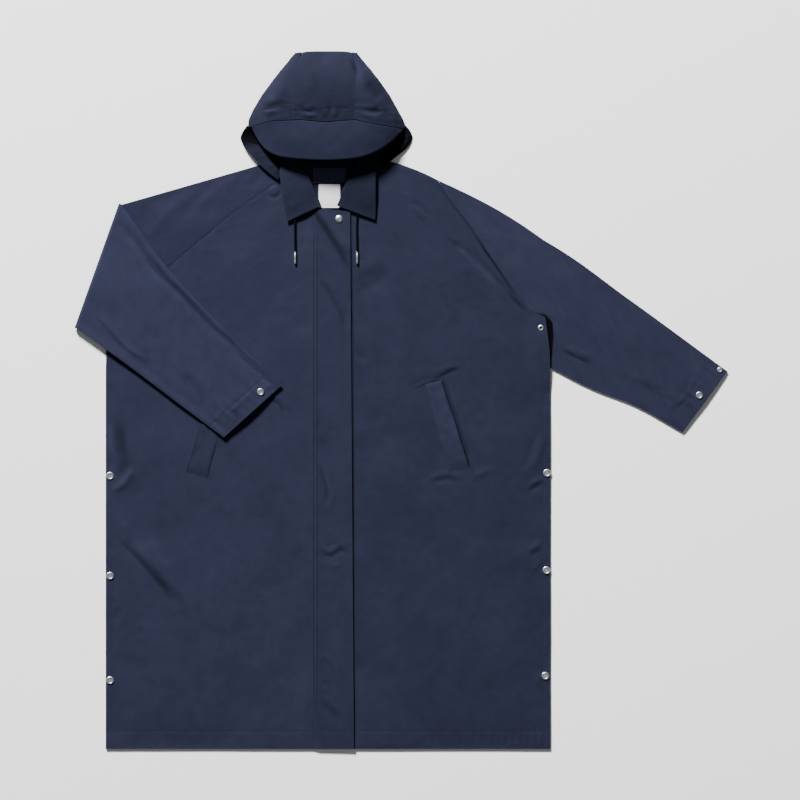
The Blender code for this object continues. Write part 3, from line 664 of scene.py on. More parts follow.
# Painted shade along creases, the raglan seam and beside the storm flap's raised edge, and painted highlight
# on ridges where the height is above 0; rows as in the fold tables.
frontPaintedShading = [
    (-0.4, 2.4, 0, *raglanLine), (0.14, 6, 0, 214, 922, 238, 900, 268, 866, 300, 836, 330, 810),
    (-0.22, 3, 0, 212, 920, 222, 914, 232, 904), (-0.42, 3.4, 0, 320, 826, 336, 808, 350, 794, 364, 782),
    (-0.6, 2.2, 0, 150, 645, 166, 652, 182, 658, 200, 662, 214, 664),
    (-0.6, 2.2, 0, 184, 662, 200, 669, 214, 676, 228, 682, 244, 686),
    (-0.4, 3, 0, 205, 690, 209, 660, 218, 630, 232, 589, 246, 545, 257, 508, 266, 480),
    (-0.18, 8, 0, 40, 812, 60, 828, 86, 842, 112, 852),
    (-0.3, 4.6, 0, -388, 390, -352, 352, -320, 316, -294, 286, -264, 244),
    (-0.14, 5, 0, -322, 316, -300, 292, -274, 254),
    (-0.4, 9.5, 0, -378, 598, -370, 550, -366, 508, -382, 474),
    (0.22, 5, 0, -394, 604, -391, 560, -388, 516), (0.26, 6, 0, -346, 510, -356, 488, -372, 468, -392, 458),
    (0.16, 12, 0, -338, 392, -306, 356, -270, 318),
    (-0.32, 2.6, 0, 262, 928, 282, 897, 309, 858, 334, 820, 348, 798),
    (-0.25, 3, 0, -107, 630, -88, 618, -76, 597), (-0.18, 3, 0, 352, 460, 372, 470, 392, 474),
    (-0.16, 3, 0, 356, 342, 373, 352, 390, 358),
    (-0.62, 1.7, 0, 47.8, -160, 46.4, 250, 44.2, 650, 42, 1120), (-0.16, 9, 0, 50, 172, 58, 158, 66, 142),
    (0.12, 9, 0, 52, 380, 58, 356, 64, 332), (-0.14, 4, 0, -41, 398, -34, 395, -28, 396),
]


def frontForm(u, v):
    start, slope = (np.where(u > 0, a, b) for a, b in zip(front["loftLineLeft"], front["loftLineRight"]))
    belowRaglan = (start - slope * np.abs(u) - v) / np.hypot(1.0, slope)
    fade = front["loftFade"]
    across = ease((np.abs(u - front["closureU"]) - 50) / fade) * ease((front["half"] - np.abs(u)) / fade)
    height = front["loft"] * across * ease(v / 70) * ease(belowRaglan / fade)
    for fromU, fromV, toU, toV, width, rise in front["broadFolds"]:
        length = math.hypot(toU - fromU, toV - fromV)
        du, dv = (toU - fromU) / length, (toV - fromV) / length
        along = ((u - fromU) * du + (v - fromV) * dv) / length
        off = np.abs((u - fromU) * dv - (v - fromV) * du) / width
        height = height + rise * ease(1 - off) * ease(1 - np.abs(2 * along - 1)) * ease(v / 40)
    rise = np.clip((v - front["armpitLiftFrom"]) / (front["armpitV"] - front["armpitLiftFrom"]), 0, 1)
    return height + front["armpitLift"] * np.sin(np.pi * rise) * ease(1 - (front["half"] - u) / 60)


# What the fine cloth adds to the broad form of the fronts.
def frontFine(u, v):
    height = folds(u, v, frontFolds) + crumple(u, v, (0.9, 95, 3), (0.42, 38, 4), (0.14, 15, 5))
    hem = np.clip(v / front["hemDepth"], 0, 1.4)
    ripple = 0.5 + 0.5 * unevenness(u, v * 0.12, 34, 6)
    strength = (0.10 + 0.45 * ease((u - 60) / 260) * ripple) * groove(hem, 0.55, 0.5)
    height += strength * gathers(u, 6 * unevenness(u, v * 0.2, 22, 7), 13.0)
    height -= 0.22 * groove(v, front["hemDepth"], 1.6)
    pucker = np.hypot(u + 97, v - 1003)
    return height + 1.3 * np.exp(-((pucker / 8.5) ** 4)) - 0.5 * groove(pucker, 13.0, 3.0)


snapPlaces = {"snap_side_right_1": (-392, 490), "snap_side_right_2": (-392, 310),
              "snap_side_right_3": (-392, 122), "snap_side_left_1": (394, 495),
              "snap_side_left_2": (393, 320), "snap_side_left_3": (391, 130),
              "eyelet_underarm": (383, 756)}


def frontReach(u, v):
    sideFade = ease((front["half"] + 4 - np.abs(u)) / 12)
    coverFade = 0.25 + 0.75 * ease((np.abs(u - 10) - 36) / 14)
    fade = (0.35 + 0.65 * sideFade) * ease((v + 6) / 14) * coverFade
    for snapU, snapV in snapPlaces.values():
        fade = fade * (1 - 0.85 * np.exp(-((np.hypot(u - snapU, v - snapV) / 9.0) ** 4)))
    return frontForm(u, v) + frontFine(u, v) * fade


def frontSurface(u, v):
    return layout["frontTop"] + frontReach(u, v)


def bodySide(sign, rows):
    straight = [(front["half"], v) for v in np.linspace(front["hemV"], front["side"][-1][1], rows)[:-1]]
    return [(sign * u, v) for u, v in [*straight, *reversed(front["side"])]]


def frontRelief(at):
    u, v, right = at.u, at.v, at.right
    fine = frontReach(u, v) - frontForm(u, v)
    upper = ease((v - 760) / 30)
    pucker = 0.25 + 0.75 * ease(0.5 + 0.9 * unevenness(u, v, 16, 8))
    raglanPart = upper * ease((372 - np.abs(u)) / 28)
    raglanPart = raglanPart * np.where(u < 0, 0.3 + 0.5 * ease(0.5 + unevenness(u, v, 30, 9)), 1.0)
    fine = fine - raglanPart * pucker * (0.6 * near(right, 9.0) + 0.16 * groove(right, 7.0, 1.6))
    return fine - (1 - upper) * 0.28 * groove(right, front["ventDepth"], 1.5)


# The grid between two lines of (u, v), at shares of the way across.
def ruled(first, second, shares):
    return between(first[:, None], second[:, None], shares[None, :, None])


for name, sign, raglan, top, neck in (
    ("front_left", 1, front["raglanLeft"], front["shoulderLeft"], front["neckLeft"]),
    ("front_right", -1, front["raglanRight"], [], front["neckRight"]),
):
    side = bodySide(sign, 17)
    outer = np.array([*side, *reversed(raglan[:-1]), *top[1:]], float)
    lowCount = len(side) + 1
    closure = [(front["closureU"], v) for v in np.linspace(front["hemV"], front["turnV"], lowCount)]
    upper = evenAlong([closure[-1], *neck], np.linspace(0, 1, len(outer) - lowCount + 1)[1:])
    rowAt = alongLine(outer, front["pitch"], fine=[6, 16, 31], finePitch=1.6, reach=5)
    width = front["half"]
    columnAt = spread(width, front["pitch"], fine=[width - 6, width - 13, width - 1], finePitch=1.5, reach=3)
    plan = ruled(onLine([*closure, *upper], rowAt), onLine(outer, rowAt), columnAt)
    u, v = plan[..., 0], plan[..., 1]
    clothSheet(name, np.dstack([u, v, layout["frontTop"] + frontForm(u, v)]), frontRelief,
               paintedShading=frontPaintedShading)
print("fronts made")

backNeck = {"v": 1047.0, "half": 119.0, "pitch": 9.0}


def backRaglan(sign, count):
    neck = (sign * backNeck["half"], backNeck["v"])
    armpitU, armpitV = front["side"][0]
    return [between(neck, (sign * armpitU, armpitV), share) for share in np.linspace(0, 1, count)]


rightSide, leftSide = (np.array([*bodySide(sign, 3), *reversed(backRaglan(sign, 5)[:-1])], float)
                       for sign in (-1, 1))
rowAt = alongLine(leftSide, backNeck["pitch"])
plan = ruled(onLine(rightSide, rowAt), onLine(leftSide, rowAt), spread(2 * front["half"], backNeck["pitch"]))
clothSheet("back_body", np.dstack([plan, np.full(plan.shape[:2], layout["clothWall"])]))

spreadSleeve = {"stations": [(387, 915, 475, 646), (544, 806, 556, 614), (719, 678, 638, 568)],
                "shoulderBow": 6.0, "aboveArmpit": 0.6, "loft": 2.0, "cuffDepth": 32.0, "pitch": 3.4,
                "length": 470.0, "backStart": (110, 1054)}
spreadFolds = [
    (-0.9, 3.4, 0.3, 420, 713, 436, 706, 448, 700, 480, 689), (0.9, 6, 0, 424, 724, 450, 712, 482, 701),
    (-0.4, 9, 0, 536, 655, 571, 644, 605, 633), (0.6, 12, 0, 540, 674, 578, 660, 612, 648),
    (0.7, 20, 0, 300, 945, 380, 870, 440, 800), (-0.6, 22, 0, 380, 905, 470, 830, 560, 770),
    (0.7, 24, 0, 430, 760, 520, 740, 610, 690), (-0.7, 16, 0, 410, 730, 415, 690, 440, 660),
    (-0.6, 7, 0, 652, 668, 640, 640, 630, 622), (0.7, 5, 0, 626, 628, 640, 622, 652, 612),
    (0.6, 5, 0, 650, 664, 664, 656, 676, 650),
]


def spreadSleeveGrid(start, base, loft, columnAt, rowAt):
    own = lengthsOf(start) / lengthsOf(start)[-1]
    shares = np.interp(own, [0, own[-len(front["side"])], 1], [0, spreadSleeve["aboveArmpit"], 1])
    share = np.interp(rowAt, np.arange(len(start)), shares)[:, None]
    stations = [onLine(start, rowAt), *(between(s[:2], s[2:], share) for s in spreadSleeve["stations"])]
    columns = []
    for along in columnAt:
        station = along * (len(stations) - 1)
        place = onCurve(stations, np.full(len(rowAt), station))
        bow = spreadSleeve["shoulderBow"] * (1 - share) * math.sin(math.pi * min(station, 1.0))
        puff = loft * np.sin(np.pi * share) * ease(along * 4) * ease((1.25 - along) * 3)
        columns.append((place + np.hstack([0 * bow, bow]), base + puff))
    return fromColumns(columns)


leftFrontStart = [*front["raglanLeft"], *front["side"][1:]]
leftBackStart = [spreadSleeve["backStart"], *backRaglan(1, 5), *front["side"][1:]]
cuffLine = spreadSleeve["length"] - spreadSleeve["cuffDepth"]
columnAt = spread(spreadSleeve["length"], spreadSleeve["pitch"], fine=[5, cuffLine], finePitch=1.6, reach=5)


def spreadRelief(at):
    u, v = at.u, at.v
    fine = folds(u, v, spreadFolds) + crumple(u, v, (0.8, 90, 13), (0.42, 36, 14), (0.14, 15, 15))
    fine -= 0.7 * near(at.left, 2.5) * (0.7 + 0.3 * unevenness(u, v, 14, 18)) * ease((v - 772) / 40)
    fine -= 0.3 * groove(at.right, spreadSleeve["cuffDepth"], 1.6)
    ripple = groove(at.right, 22, 15) * (0.25 + 0.3 * unevenness(u, v, 30, 16))
    fine += ripple * gathers(at.low, 5 * unevenness(u, v, 20, 17), 14.0)
    edgeFade = ease((at.low + 2) / 12) * ease((at.high + 2) / 12)
    return fine * (0.25 + 0.75 * edgeFade)


shadowEdge = [(684, 400.5), (716, 404.0), (743, 406.0), (767, 404.0), (780, 391.0)]


# Painted shadow on the lower sleeve where the front's side edge lifts off it.
def spreadPaintedShadow(at):
    u, v = at.u, at.v
    limit = np.interp(v, *np.array(shadowEdge).T)
    dark = ease((limit - u) / 2.2 + 0.5) * ease((v - 676) / 8) * ease((784 - v) / 6)
    return pieceToneAndShade["sleeve_left_front"] - 1.05 * dark


# Painted shade along the raglan seam and creases of the spread sleeve.
spreadPaintedShading = [
    (-0.3, 2, 0, *raglanLine), (-0.42, 2.4, 0, 415, 722, 432, 712, 452, 701, 486, 687),
    (-0.3, 3, 0, 606, 598, 620, 612, 636, 622, 650, 636, 660, 652),
    (-0.2, 4, 0, 580, 638, 604, 634, 630, 626, 654, 618), (-0.12, 4, 0, 490, 686, 540, 668, 604, 640),
]
grid = spreadSleeveGrid(leftFrontStart, layout["frontTop"], spreadSleeve["loft"], columnAt,
                        alongLine(leftFrontStart, 3.2))
clothSheet("sleeve_left_front", grid, spreadRelief, toneAndShade=spreadPaintedShadow,
           paintedShading=spreadPaintedShading)
hidden = backNeck["pitch"]
clothSheet("sleeve_left_back", spreadSleeveGrid(leftBackStart, layout["clothWall"], 0.0,
                                                spread(spreadSleeve["length"], hidden),
                                                alongLine(leftBackStart, hidden)))

foldedSleeve = {"stations": [(-292, 868, -360, 689), (-198, 767, -266, 618), (-83, 653, -187, 559)],
                "edge": [(-376, 980), (-456, 756)], "axis": 5.6, "loft": 2.0, "cuffDepth": 32.0,
                "length": 440.0, "reach": 430.0,
                "under": (-394, 757), "frontStart": (-112, 1052), "backStart": (-114, 1052)}
foldedFolds = [
    (1.2, 5, 0.3, -424, 790, -391, 754, -367, 725, -337, 704, -312, 692),
    (-0.8, 7, 0, -412, 762, -384, 732, -352, 706), (-1.3, 8, 0, -268, 674, -250, 660, -236, 640, -214, 594),
    (0.8, 9, 0, -256, 690, -232, 668, -216, 640, -198, 604),
    (1.3, 10, 0.2, -372, 975, -351, 929, -337, 896, -316, 868),
    (-0.9, 9, 0, -352, 962, -334, 920, -316, 884), (1, 4, 0, -119, 646, -106, 652, -90, 656),
    (0.7, 5, 0, -190, 606, -198, 594, -204, 586), (0.8, 5, 0, -158, 622, -166, 612, -176, 606),
    (0.6, 5, 0, -136, 640, -146, 630, -152, 622), (0.7, 26, 0, -380, 860, -320, 790, -260, 730),
    (-0.6, 24, 0, -330, 830, -270, 760, -220, 690), (0.7, 16, 0, -230, 760, -190, 700, -150, 660),
]


foldTop, foldUnder = (np.array(p, float) for p in foldedSleeve["edge"])
foldAlong = (foldUnder - foldTop) / np.linalg.norm(foldUnder - foldTop)
foldOut = np.array([foldAlong[1], -foldAlong[0]])


# Counts are those of the columns before the fold and round it, and then the shares of those past it.
def foldedSleeveGrid(start, base, loftBefore, loftAfter, counts, rowAt):
    axis = foldedSleeve["axis"]
    radius = axis - base
    share = np.interp(rowAt, np.arange(len(start)), lengthsOf(start) / lengthsOf(start)[-1])[:, None]
    first = onLine(start, rowAt)
    turn = between(foldTop - foldOut * axis, foldUnder - foldOut * axis, share)
    puff = np.sin(np.pi * share)
    columns = [(between(first, turn, s), base + loftBefore * puff * math.sin(math.pi * s))
               for s in np.linspace(0, 1, counts[0] + 1)[:-1]]
    columns += [(turn + foldOut * radius * math.sin(angle), axis - radius * math.cos(angle))
                for angle in np.linspace(0, math.pi, counts[1] + 1)[:-1]]
    stations = [turn, *(between(s[:2], s[2:], share) for s in foldedSleeve["stations"])]
    for s in counts[2] * (len(stations) - 1):
        height = 2 * axis - base + loftAfter * puff * ease(s * 3 / 4)
        columns.append((onCurve(stations, np.full(len(rowAt), s)), height))
    return fromColumns(columns)


# The sleeve's cut opened out flat: what lies past the fold goes back across it.
def openedOut(grid):
    past = ((grid[..., :2] - foldTop) @ foldOut)[..., None] * foldOut
    return np.where(grid[..., 2:] > foldedSleeve["axis"], grid[..., :2] - 2 * past, grid[..., :2])


# How far along the sleeve's laid part a place is, as a share.
def pastFold(at, level):
    folded = np.argmax(at.h[0] > level)
    return np.clip((at.left - at.left[:, folded:folded + 1]) / foldedSleeve["reach"], 0, 1)


# The cuff's upper corner settles onto the front.
def cornerDrop(at, depth):
    return depth * ease((at.past - 0.6) * 2.5) * near(at.low, 90.0)


def foldedRelief(at):
    u, v = at.u, at.v
    past = at.past = pastFold(at, 8.0)
    fine = folds(u, v, foldedFolds) + crumple(u, v, (0.8, 90, 23), (0.42, 36, 24), (0.14, 15, 25))
    # the flattened tube stands up along its upper edge, with a soft trough beside it
    trough = 26.0 - 19.0 * past + 3.0 * unevenness(u, v, 40, 28)
    depth = 3.2 * ease(past * 9) * (1 - 0.4 * past) * (0.8 + 0.3 * unevenness(u, v, 60, 29))
    fine -= depth * groove(at.low, trough, 10.0 - 4.0 * past)
    fine += 0.7 * ease(past * 9) * groove(at.low, 5.0, 6.0)
    fine += 0.5 * groove(at.high, 4.0, 6.0) - 0.4 * groove(at.high, 15.0, 8.0)
    fine -= 0.5 * groove(at.right, foldedSleeve["cuffDepth"], 1.6)
    ripple = groove(at.right, 24, 15) * (0.3 + 0.35 * unevenness(u, v, 30, 26))
    fine += ripple * gathers(at.low, 5 * unevenness(u, v, 20, 27), 17.0)
    edgeFade = ease((at.low + 3) / 9) * ease((at.high + 3) / 9)
    return (fine * (0.35 + 0.65 * edgeFade) - cornerDrop(at, 2.0)) * ease((at.h - 8.0) / 3.0)


# Painted shade in the trough beside the folded sleeve's upper edge, and a painted highlight along that edge.
def foldedShading(at):
    trough = 20.0 - 14.0 * at.past + 3.0 * unevenness(at.u, at.v, 40, 28)
    shade = 0.26 * groove(at.low, trough, 6.0 - 2.5 * at.past) * ease((at.past - 0.12) * 5)
    return pieceToneAndShade["sleeve_right_back"] - shade + 0.06 * groove(at.low, 4.0, 4.0) * ease(at.past * 5)


rightFrontStart = [foldedSleeve["frontStart"], *front["raglanRight"], foldedSleeve["under"]]
rightBackStart = [foldedSleeve["backStart"], *backRaglan(-1, 9), foldedSleeve["under"]]
backRows = alongLine(rightBackStart, 3.4, fine=[6, 16], finePitch=2.0, reach=6)
length = foldedSleeve["length"]
laidShares = spread(length, 3.4, fine=[3, length - foldedSleeve["cuffDepth"]], finePitch=1.6, reach=5)
grid = foldedSleeveGrid(rightBackStart, 0.0, 0.0, foldedSleeve["loft"], (8, 12, laidShares), backRows)
clothSheet("sleeve_right_back", grid, foldedRelief, look=(0, grid.shape[1] - 3), flatPlan=openedOut(grid),
           toneAndShade=foldedShading)

lowerFolds = [
    (0.8, 12, 0, -150, 1040, -210, 1000, -260, 960), (-0.7, 9, 0, -180, 1034, -235, 985, -280, 935),
    (0.8, 9, 0, -230, 1010, -290, 960, -330, 905), (-0.6, 12, 0, -260, 1010, -320, 975, -350, 930),
    (-0.9, 6, 0, -118, 1040, -128, 1022, -146, 1008),
]


def lowerSleeveRelief(at):
    u, v = at.u, at.v
    at.past = pastFold(at, 7.0)
    fine = folds(u, v, lowerFolds) + crumple(u, v, (0.5, 80, 33), (0.28, 34, 34), (0.10, 15, 35))
    fine -= 0.35 * near(at.left, 2.5) * (0.6 + 0.4 * unevenness(u, v, 14, 36))
    return ease((7.0 - at.h) / 3.0) * fine * (0.3 + 0.7 * ease(at.low / 12)) - cornerDrop(at, 0.7)


grid = foldedSleeveGrid(rightFrontStart, layout["frontTop"], foldedSleeve["loft"], 0.0,
                        (64, 8, spread(length, 12.0)), alongLine(rightFrontStart, 4.6))
clothSheet("sleeve_right_front", grid, lowerSleeveRelief, look=(3, 3),
           flatPlan=openedOut(grid))
print("sleeves made")

stormFlap = {"left": -27.0, "rightTop": 40.0, "rightHem": 47.0, "topLeft": 974.0, "topRight": 965.0,
             "rise": 1.2, "top": 5.1, "pitch": 3.2, "size": (70.0, 975.0)}
flapFolds = [
    (-1, 5, 0.3, -32, 978, -16, 945, 1, 919, 20, 891, 33, 868),
    (2.2, 7, 0.4, -22, 974, -6, 950, 10, 926, 28, 899, 40, 878),
    (-1, 6, 0.3, -18, 852, -5, 830, 7, 810, 22, 781, 34, 745),
    (0.7, 7, 0, -8, 856, 8, 830, 24, 802, 36, 776), (-0.8, 5, 0, -16, 516, -9, 486, -2, 457, -8, 428),
    (0.7, 5, 0, -10, 520, 0, 490, 8, 455, 2, 425), (0.9, 5, 0, -16, 364, 4, 354, 22, 366, 42, 358),
    (-0.9, 4, 0, -14, 354, 4, 345, 22, 355, 40, 349), (0.7, 4, 0, -12, 338, 9, 327, 31, 336),
    (-0.9, 5, 0.2, -18, 92, 4, 68, 23, 50, 36, 34), (0.6, 5, 0, -12, 98, 8, 78, 28, 60),
    (-0.6, 4, 0, -16, 118, -2, 114, 12, 122), (-0.8, 5, 0, 34, 800, 30, 740, 34, 680),
    (0.6, 7, 0, -12, 640, 0, 600, 10, 560), (-0.5, 8, 0, 20, 300, 8, 240, 16, 190),
]


def flapRelief(at):
    u, v = at.u, at.v
    fine = folds(u, v, flapFolds) + crumple(u, v, (0.32, 60, 43), (0.08, 12, 45))
    fine += 0.22 * unevenness(u, v * 0.6, 24, 44) - 0.22 * groove(at.left, 7.6, 1.1)
    fine -= 0.3 * groove(at.high, 6.0, 1.3) + 0.2 * groove(v, front["hemDepth"], 1.6)
    sewnDown = near(at.left, 11.0)
    return np.maximum(fine, -1.1) * ease((at.high + 3) / 8) * (1 - sewnDown) - 1.45 * sewnDown


width, length = stormFlap["size"]
share, along = np.meshgrid(spread(width, stormFlap["pitch"], fine=[3, 9], finePitch=0.9, reach=2.6),
                           spread(length, 4.4, fine=[31, length - 6], finePitch=1.6, reach=4))
u = between(stormFlap["left"], between(stormFlap["rightHem"], stormFlap["rightTop"], along), share)
v = between(front["hemV"], between(stormFlap["topLeft"], stormFlap["topRight"], share), along)
h = stormFlap["top"] + stormFlap["rise"] * ease((4 * share - 1) / 3)
# Painted shade along the flap's sewn-down edge, stitch line and creases, and painted highlight on ridges
# where the height is above 0.
flapPaintedShading = [
    (-0.45, 1.5, 0, -26.5, 1120, -26.5, 700, -26.5, 300, -26.5, -160),
    (-0.4, 1.5, 0, -19.4, 1120, -19.4, 700, -19.4, 300, -19.4, -160),
    (-0.5, 5.8, 0.2, -42, 994, -28, 970, -12, 945, 3, 921, 19, 897, 32, 873, 46, 846),
    (-0.25, 3.5, 0.3, -18, 852, -5, 830, 7, 810, 22, 781, 34, 748),
    (-0.25, 3, 0, -16, 513, -9, 486, -2, 457, -8, 430), (-0.3, 2.4, 0, -16, 356, 4, 348, 22, 357, 42, 350),
    (-0.25, 3, 0.2, -16, 88, 4, 68, 23, 50), (-0.22, 2.2, 0, -12, 372, 2, 366, 12, 372, 26, 362, 34, 366),
    (0.14, 3, 0, -10, 362, 6, 358, 20, 366, 36, 356), (0.14, 3, 0, -6, 510, 0, 484, 6, 458),
    (-0.2, 2.2, 0, -18, 566, -10, 552, 2, 548), (-0.2, 2.2, 0, -14, 168, 2, 154, 14, 138),
    (0.12, 3, 0, -8, 172, 8, 158, 20, 142), (-0.16, 2.4, 0, -14, 128, 0, 116, 10, 100),
]
clothSheet("placket", np.dstack([u, v, h]), flapRelief, paintedShading=flapPaintedShading)

welt = {
    "corners": [(173, 655), (205, 664), (257, 502), (216, 491)], "size": (36.0, 168.0), "dropRight": 9.0,
    "above": 1.25, "pitch": 2.6, "sunk": 1.5,
    "opening": {"welt_left": -0.92, "welt_right": -0.30}, "lit": {"welt_left": 0.22, "welt_right": 0.06},
}


def weltRelief(at):
    fine = crumple(at.u, at.v, (0.4, 26, 51), (0.2, 11, 52))
    fine += 0.8 * groove(at.right, 0.0, 9.0) * np.sin(np.pi * at.low / (at.low + at.high))
    stitched = np.minimum(at.left, np.minimum(at.low, at.high / 3.0))
    sewnDown = near(stitched, 5.0)
    return fine * (1 - sewnDown) - welt["sunk"] * sewnDown - 0.2 * groove(stitched, 4.2, 1.0)


# Painted light on the welt's face and painted shadow along its opening edge, under the free edge.
def weltShading(at, opening, lit):
    upper = ease(at.high / 120.0) * ease(at.low / 12.0) * ease(at.left / 6.0)
    lit = lit + 0.10 * unevenness(at.u, at.v, 14, 53)
    return lit * upper + opening * near(at.right - 1.1, 2.2) * ease(at.low / 6) * ease(at.high / 12)


for name, host, sign, drop in (("welt_left", "front_left", 1, 0.0),
                               ("welt_right", "front_right", -1, welt["dropRight"])):
    topInner, topOuter, lowOuter, lowInner = (np.array((sign * a, b - drop)) for a, b in welt["corners"])
    shares = (spread(side, welt["pitch"], fine=[2, side - 2], finePitch=0.9, reach=2.5)
              for side in welt["size"])
    share, down = (s[..., None] for s in np.meshgrid(*shares))
    plan = between(between(topInner, topOuter, share), between(lowInner, lowOuter, share), down)
    grid = np.dstack([plan, frontSurface(plan[..., 0], plan[..., 1]) + welt["above"]])
    clothSheet(name, grid, weltRelief,
               toneAndShade=lambda at: weltShading(at, welt["opening"][name], welt["lit"][name]))
print("storm flap and pockets made")

hood = {
    "outline": [(1252, -56, 50), (1249, -61, 54), (1242, -67, 59), (1234, -73, 66), (1220, -85, 77),
                (1202, -99, 92), (1175, -119, 111), (1148, -135, 126), (1130, -143, 136),
                (1117, -144, 139)],
    "floorEdge": [(1117, 141), (1098, 141), (1078, 132), (1062, 116), (1047, 96)],
    "seams": [(1254, -47, 43), (1240, -52, 46), (1217, -61, 52), (1183, -65, 50), (1150, -65, 49),
              (1120, -66, 48)],
    "rows": [1250, 1240, 1229, 1217, 1200, 1183, 1167, 1150, 1135, 1117],
    "crownV": 1254.0, "height": 42.0, "edgeRadius": 3.5, "turn": math.radians(140), "floorSeam": 45.0,
    "crownRound": 2.5, "closing": [(0.4, 0.82), (0.8, 0.55), (1.0, 0.28), (1.1, 0.06)], "middleU": -2.0,
    "crownBow": 1.5, "visorBow": 2.0, "visorGap": 1.2, "edgeHeight": 6.5, "puff": 3.0,
    "sideWidth": 75.0, "stripWidth": 100.0, "visorSize": (300.0, 72.0),
    "visorSeam": [(-137, 1118), (-101, 1127), (-49, 1129), (-7, 1125), (49, 1129), (88, 1121), (124, 1116),
                  (134, 1114)],
    "visorEdge": [(-137, 1114, 11), (-119, 1084, 20), (-96, 1067, 28), (-61, 1060, 34), (-4, 1057, 38),
                  (53, 1061, 37), (88, 1073, 34), (113, 1089, 27), (129, 1105, 17), (134, 1109, 12)],
}
hoodFolds = [
    (-1.3, 5, 0.3, -124, 1146, -106, 1152, -88, 1156, -62, 1158),
    (0.9, 6.5, 0, -122, 1156, -100, 1163, -74, 1168), (1, 5, 0, -118, 1138, -96, 1143, -76, 1144),
    (-0.8, 4.5, 0, -54, 1153, -44, 1146, -32, 1144, -16, 1148), (1, 4, 0, -50, 1142, -34, 1136, -16, 1139),
    (-0.7, 4, 0, 40, 1150, 62, 1146, 83, 1143, 104, 1141), (0.9, 4.5, 0, 56, 1138, 76, 1134, 96, 1129),
    (-1, 4, 0, 84, 1152, 90, 1146, 96, 1140), (-1.8, 8, 0, -12, 1256, -11, 1242, -8, 1226),
    (-1.6, 6, 0.2, 44, 1250, 49, 1234, 52, 1212, 54, 1196),
    (1.6, 10, 0, 62, 1236, 76, 1214, 90, 1196, 104, 1180), (-1.4, 12, 0, 66, 1196, 82, 1182, 98, 1164),
    (1.2, 12, 0, -98, 1196, -90, 1182, -84, 1168), (-0.9, 12, 0, -74, 1222, -70, 1196, -76, 1176),
    (0.9, 10, 0, -34, 1226, -30, 1200, -34, 1176), (-0.8, 4, 0, 4, 1158, 3, 1144, 6, 1132),
    (0.8, 3.5, 0, 12, 1150, 13, 1140, 12, 1131), (-0.8, 3.5, 0, 24, 1154, 23, 1142, 26, 1132),
    (0.8, 3.5, 0, -4, 1148, -6, 1140, -4, 1130),
]


# Painted shade in the hood's creases and painted highlight on its ridges where the height is above 0.
hoodPaintedShading = [
    (-0.2, 3.2, 0, -130, 1146, -106, 1152, -88, 1156, -64, 1158),
    (-0.1, 3, 0, -54, 1158, -44, 1148, -32, 1145, -16, 1148), (-0.08, 3, 0, 40, 1151, 62, 1145, 80, 1142),
    (-0.16, 3, 0, 96, 1150, 102, 1149, 108, 1145), (-0.22, 5, 0, 38, 1242, 46, 1230, 52, 1214),
    (-0.2, 9, 0, 66, 1196, 82, 1182, 96, 1166), (-0.3, 2, 0, -122, 1148, -104, 1150, -86, 1153, -70, 1154),
    (0.18, 2.4, 0, -118, 1143, -100, 1146, -80, 1148), (-0.22, 1.8, 0, -124, 1138, -106, 1141, -88, 1143),
    (-0.28, 2, 0, -50, 1157, -46, 1150, -38, 1145, -20, 1143),
    (0.2, 2.8, 0, -42, 1140, -24, 1137, -6, 1138), (-0.24, 1.8, 0, 3, 1156, 4, 1148, 3, 1138),
    (0.16, 2, 0, 9, 1156, 10, 1147, 9, 1137), (-0.2, 1.8, 0, 15, 1154, 16, 1146, 15, 1136),
    (-0.28, 2, 0, 62, 1152, 74, 1149, 88, 1146, 104, 1144, 118, 1141),
    (0.2, 2.4, 0, 60, 1142, 76, 1140, 96, 1136), (-0.18, 1.8, 0, 50, 1137, 66, 1134, 84, 1132),
    (0.16, 9, 0, 66, 1232, 78, 1216, 88, 1200), (0.12, 12, 0, -106, 1182, -96, 1168, -92, 1160),
]


def hoodTable(key, column, v):
    rows = np.array(sorted(hood[key]), float)
    return np.interp(v, rows[:, 0], rows[:, column])


def visorSeamV(u):
    return np.interp(u, *np.array(hood["visorSeam"], float).T)


# The puffed hood's height, at a share of the way from its edge to its top.
def domed(share, top):
    return hood["edgeHeight"] + (top - hood["edgeHeight"]) * (1 - (1 - np.clip(share, 0, 1)) ** hood["puff"])


def hoodSeamHeight(v):
    return domed((hood["crownV"] - v) / (hood["crownV"] - hood["visorSeam"][3][1]), hood["height"])


def hoodSideHeight(u, v):
    edge, seam = (np.where(u < hood["middleU"], hoodTable(key, 1, v), hoodTable(key, 2, v))
                  for key in ("outline", "seams"))
    return domed((edge - u) / (edge - seam), hoodSeamHeight(v))


def hoodFine(at):
    u, v = at.u, at.v
    fine = 1.35 * folds(u, v, hoodFolds) + crumple(u, v, (0.8, 44, 61), (0.4, 20, 62), (0.14, 9, 63))
    aboveVisor = v - visorSeamV(u)
    gathered = groove(aboveVisor, 8, 9) * (0.22 + 0.40 * unevenness(u, v * 0.3, 18, 64))
    fine += gathered * gathers(u, 4 * unevenness(u, v, 12, 65), 9.0)
    crumpled = crumple(u * 0.7, v * 1.7, (0.6, 12, 66)) + crumple(u * 0.8, v * 1.8, (0.3, 6, 67))
    return (fine + groove(aboveVisor, 20, 17) * crumpled) * ease((at.h - 6.0) / 6.0)


# The hood's last rows lean over to the visor's seam.
def leaned(u, v, rowPlace):
    toSeam = np.clip(rowPlace - (len(hood["rows"]) - 2), 0, 1)
    return np.where(toSeam > 0, between(hood["rows"][-2], visorSeamV(u), toSeam), v)


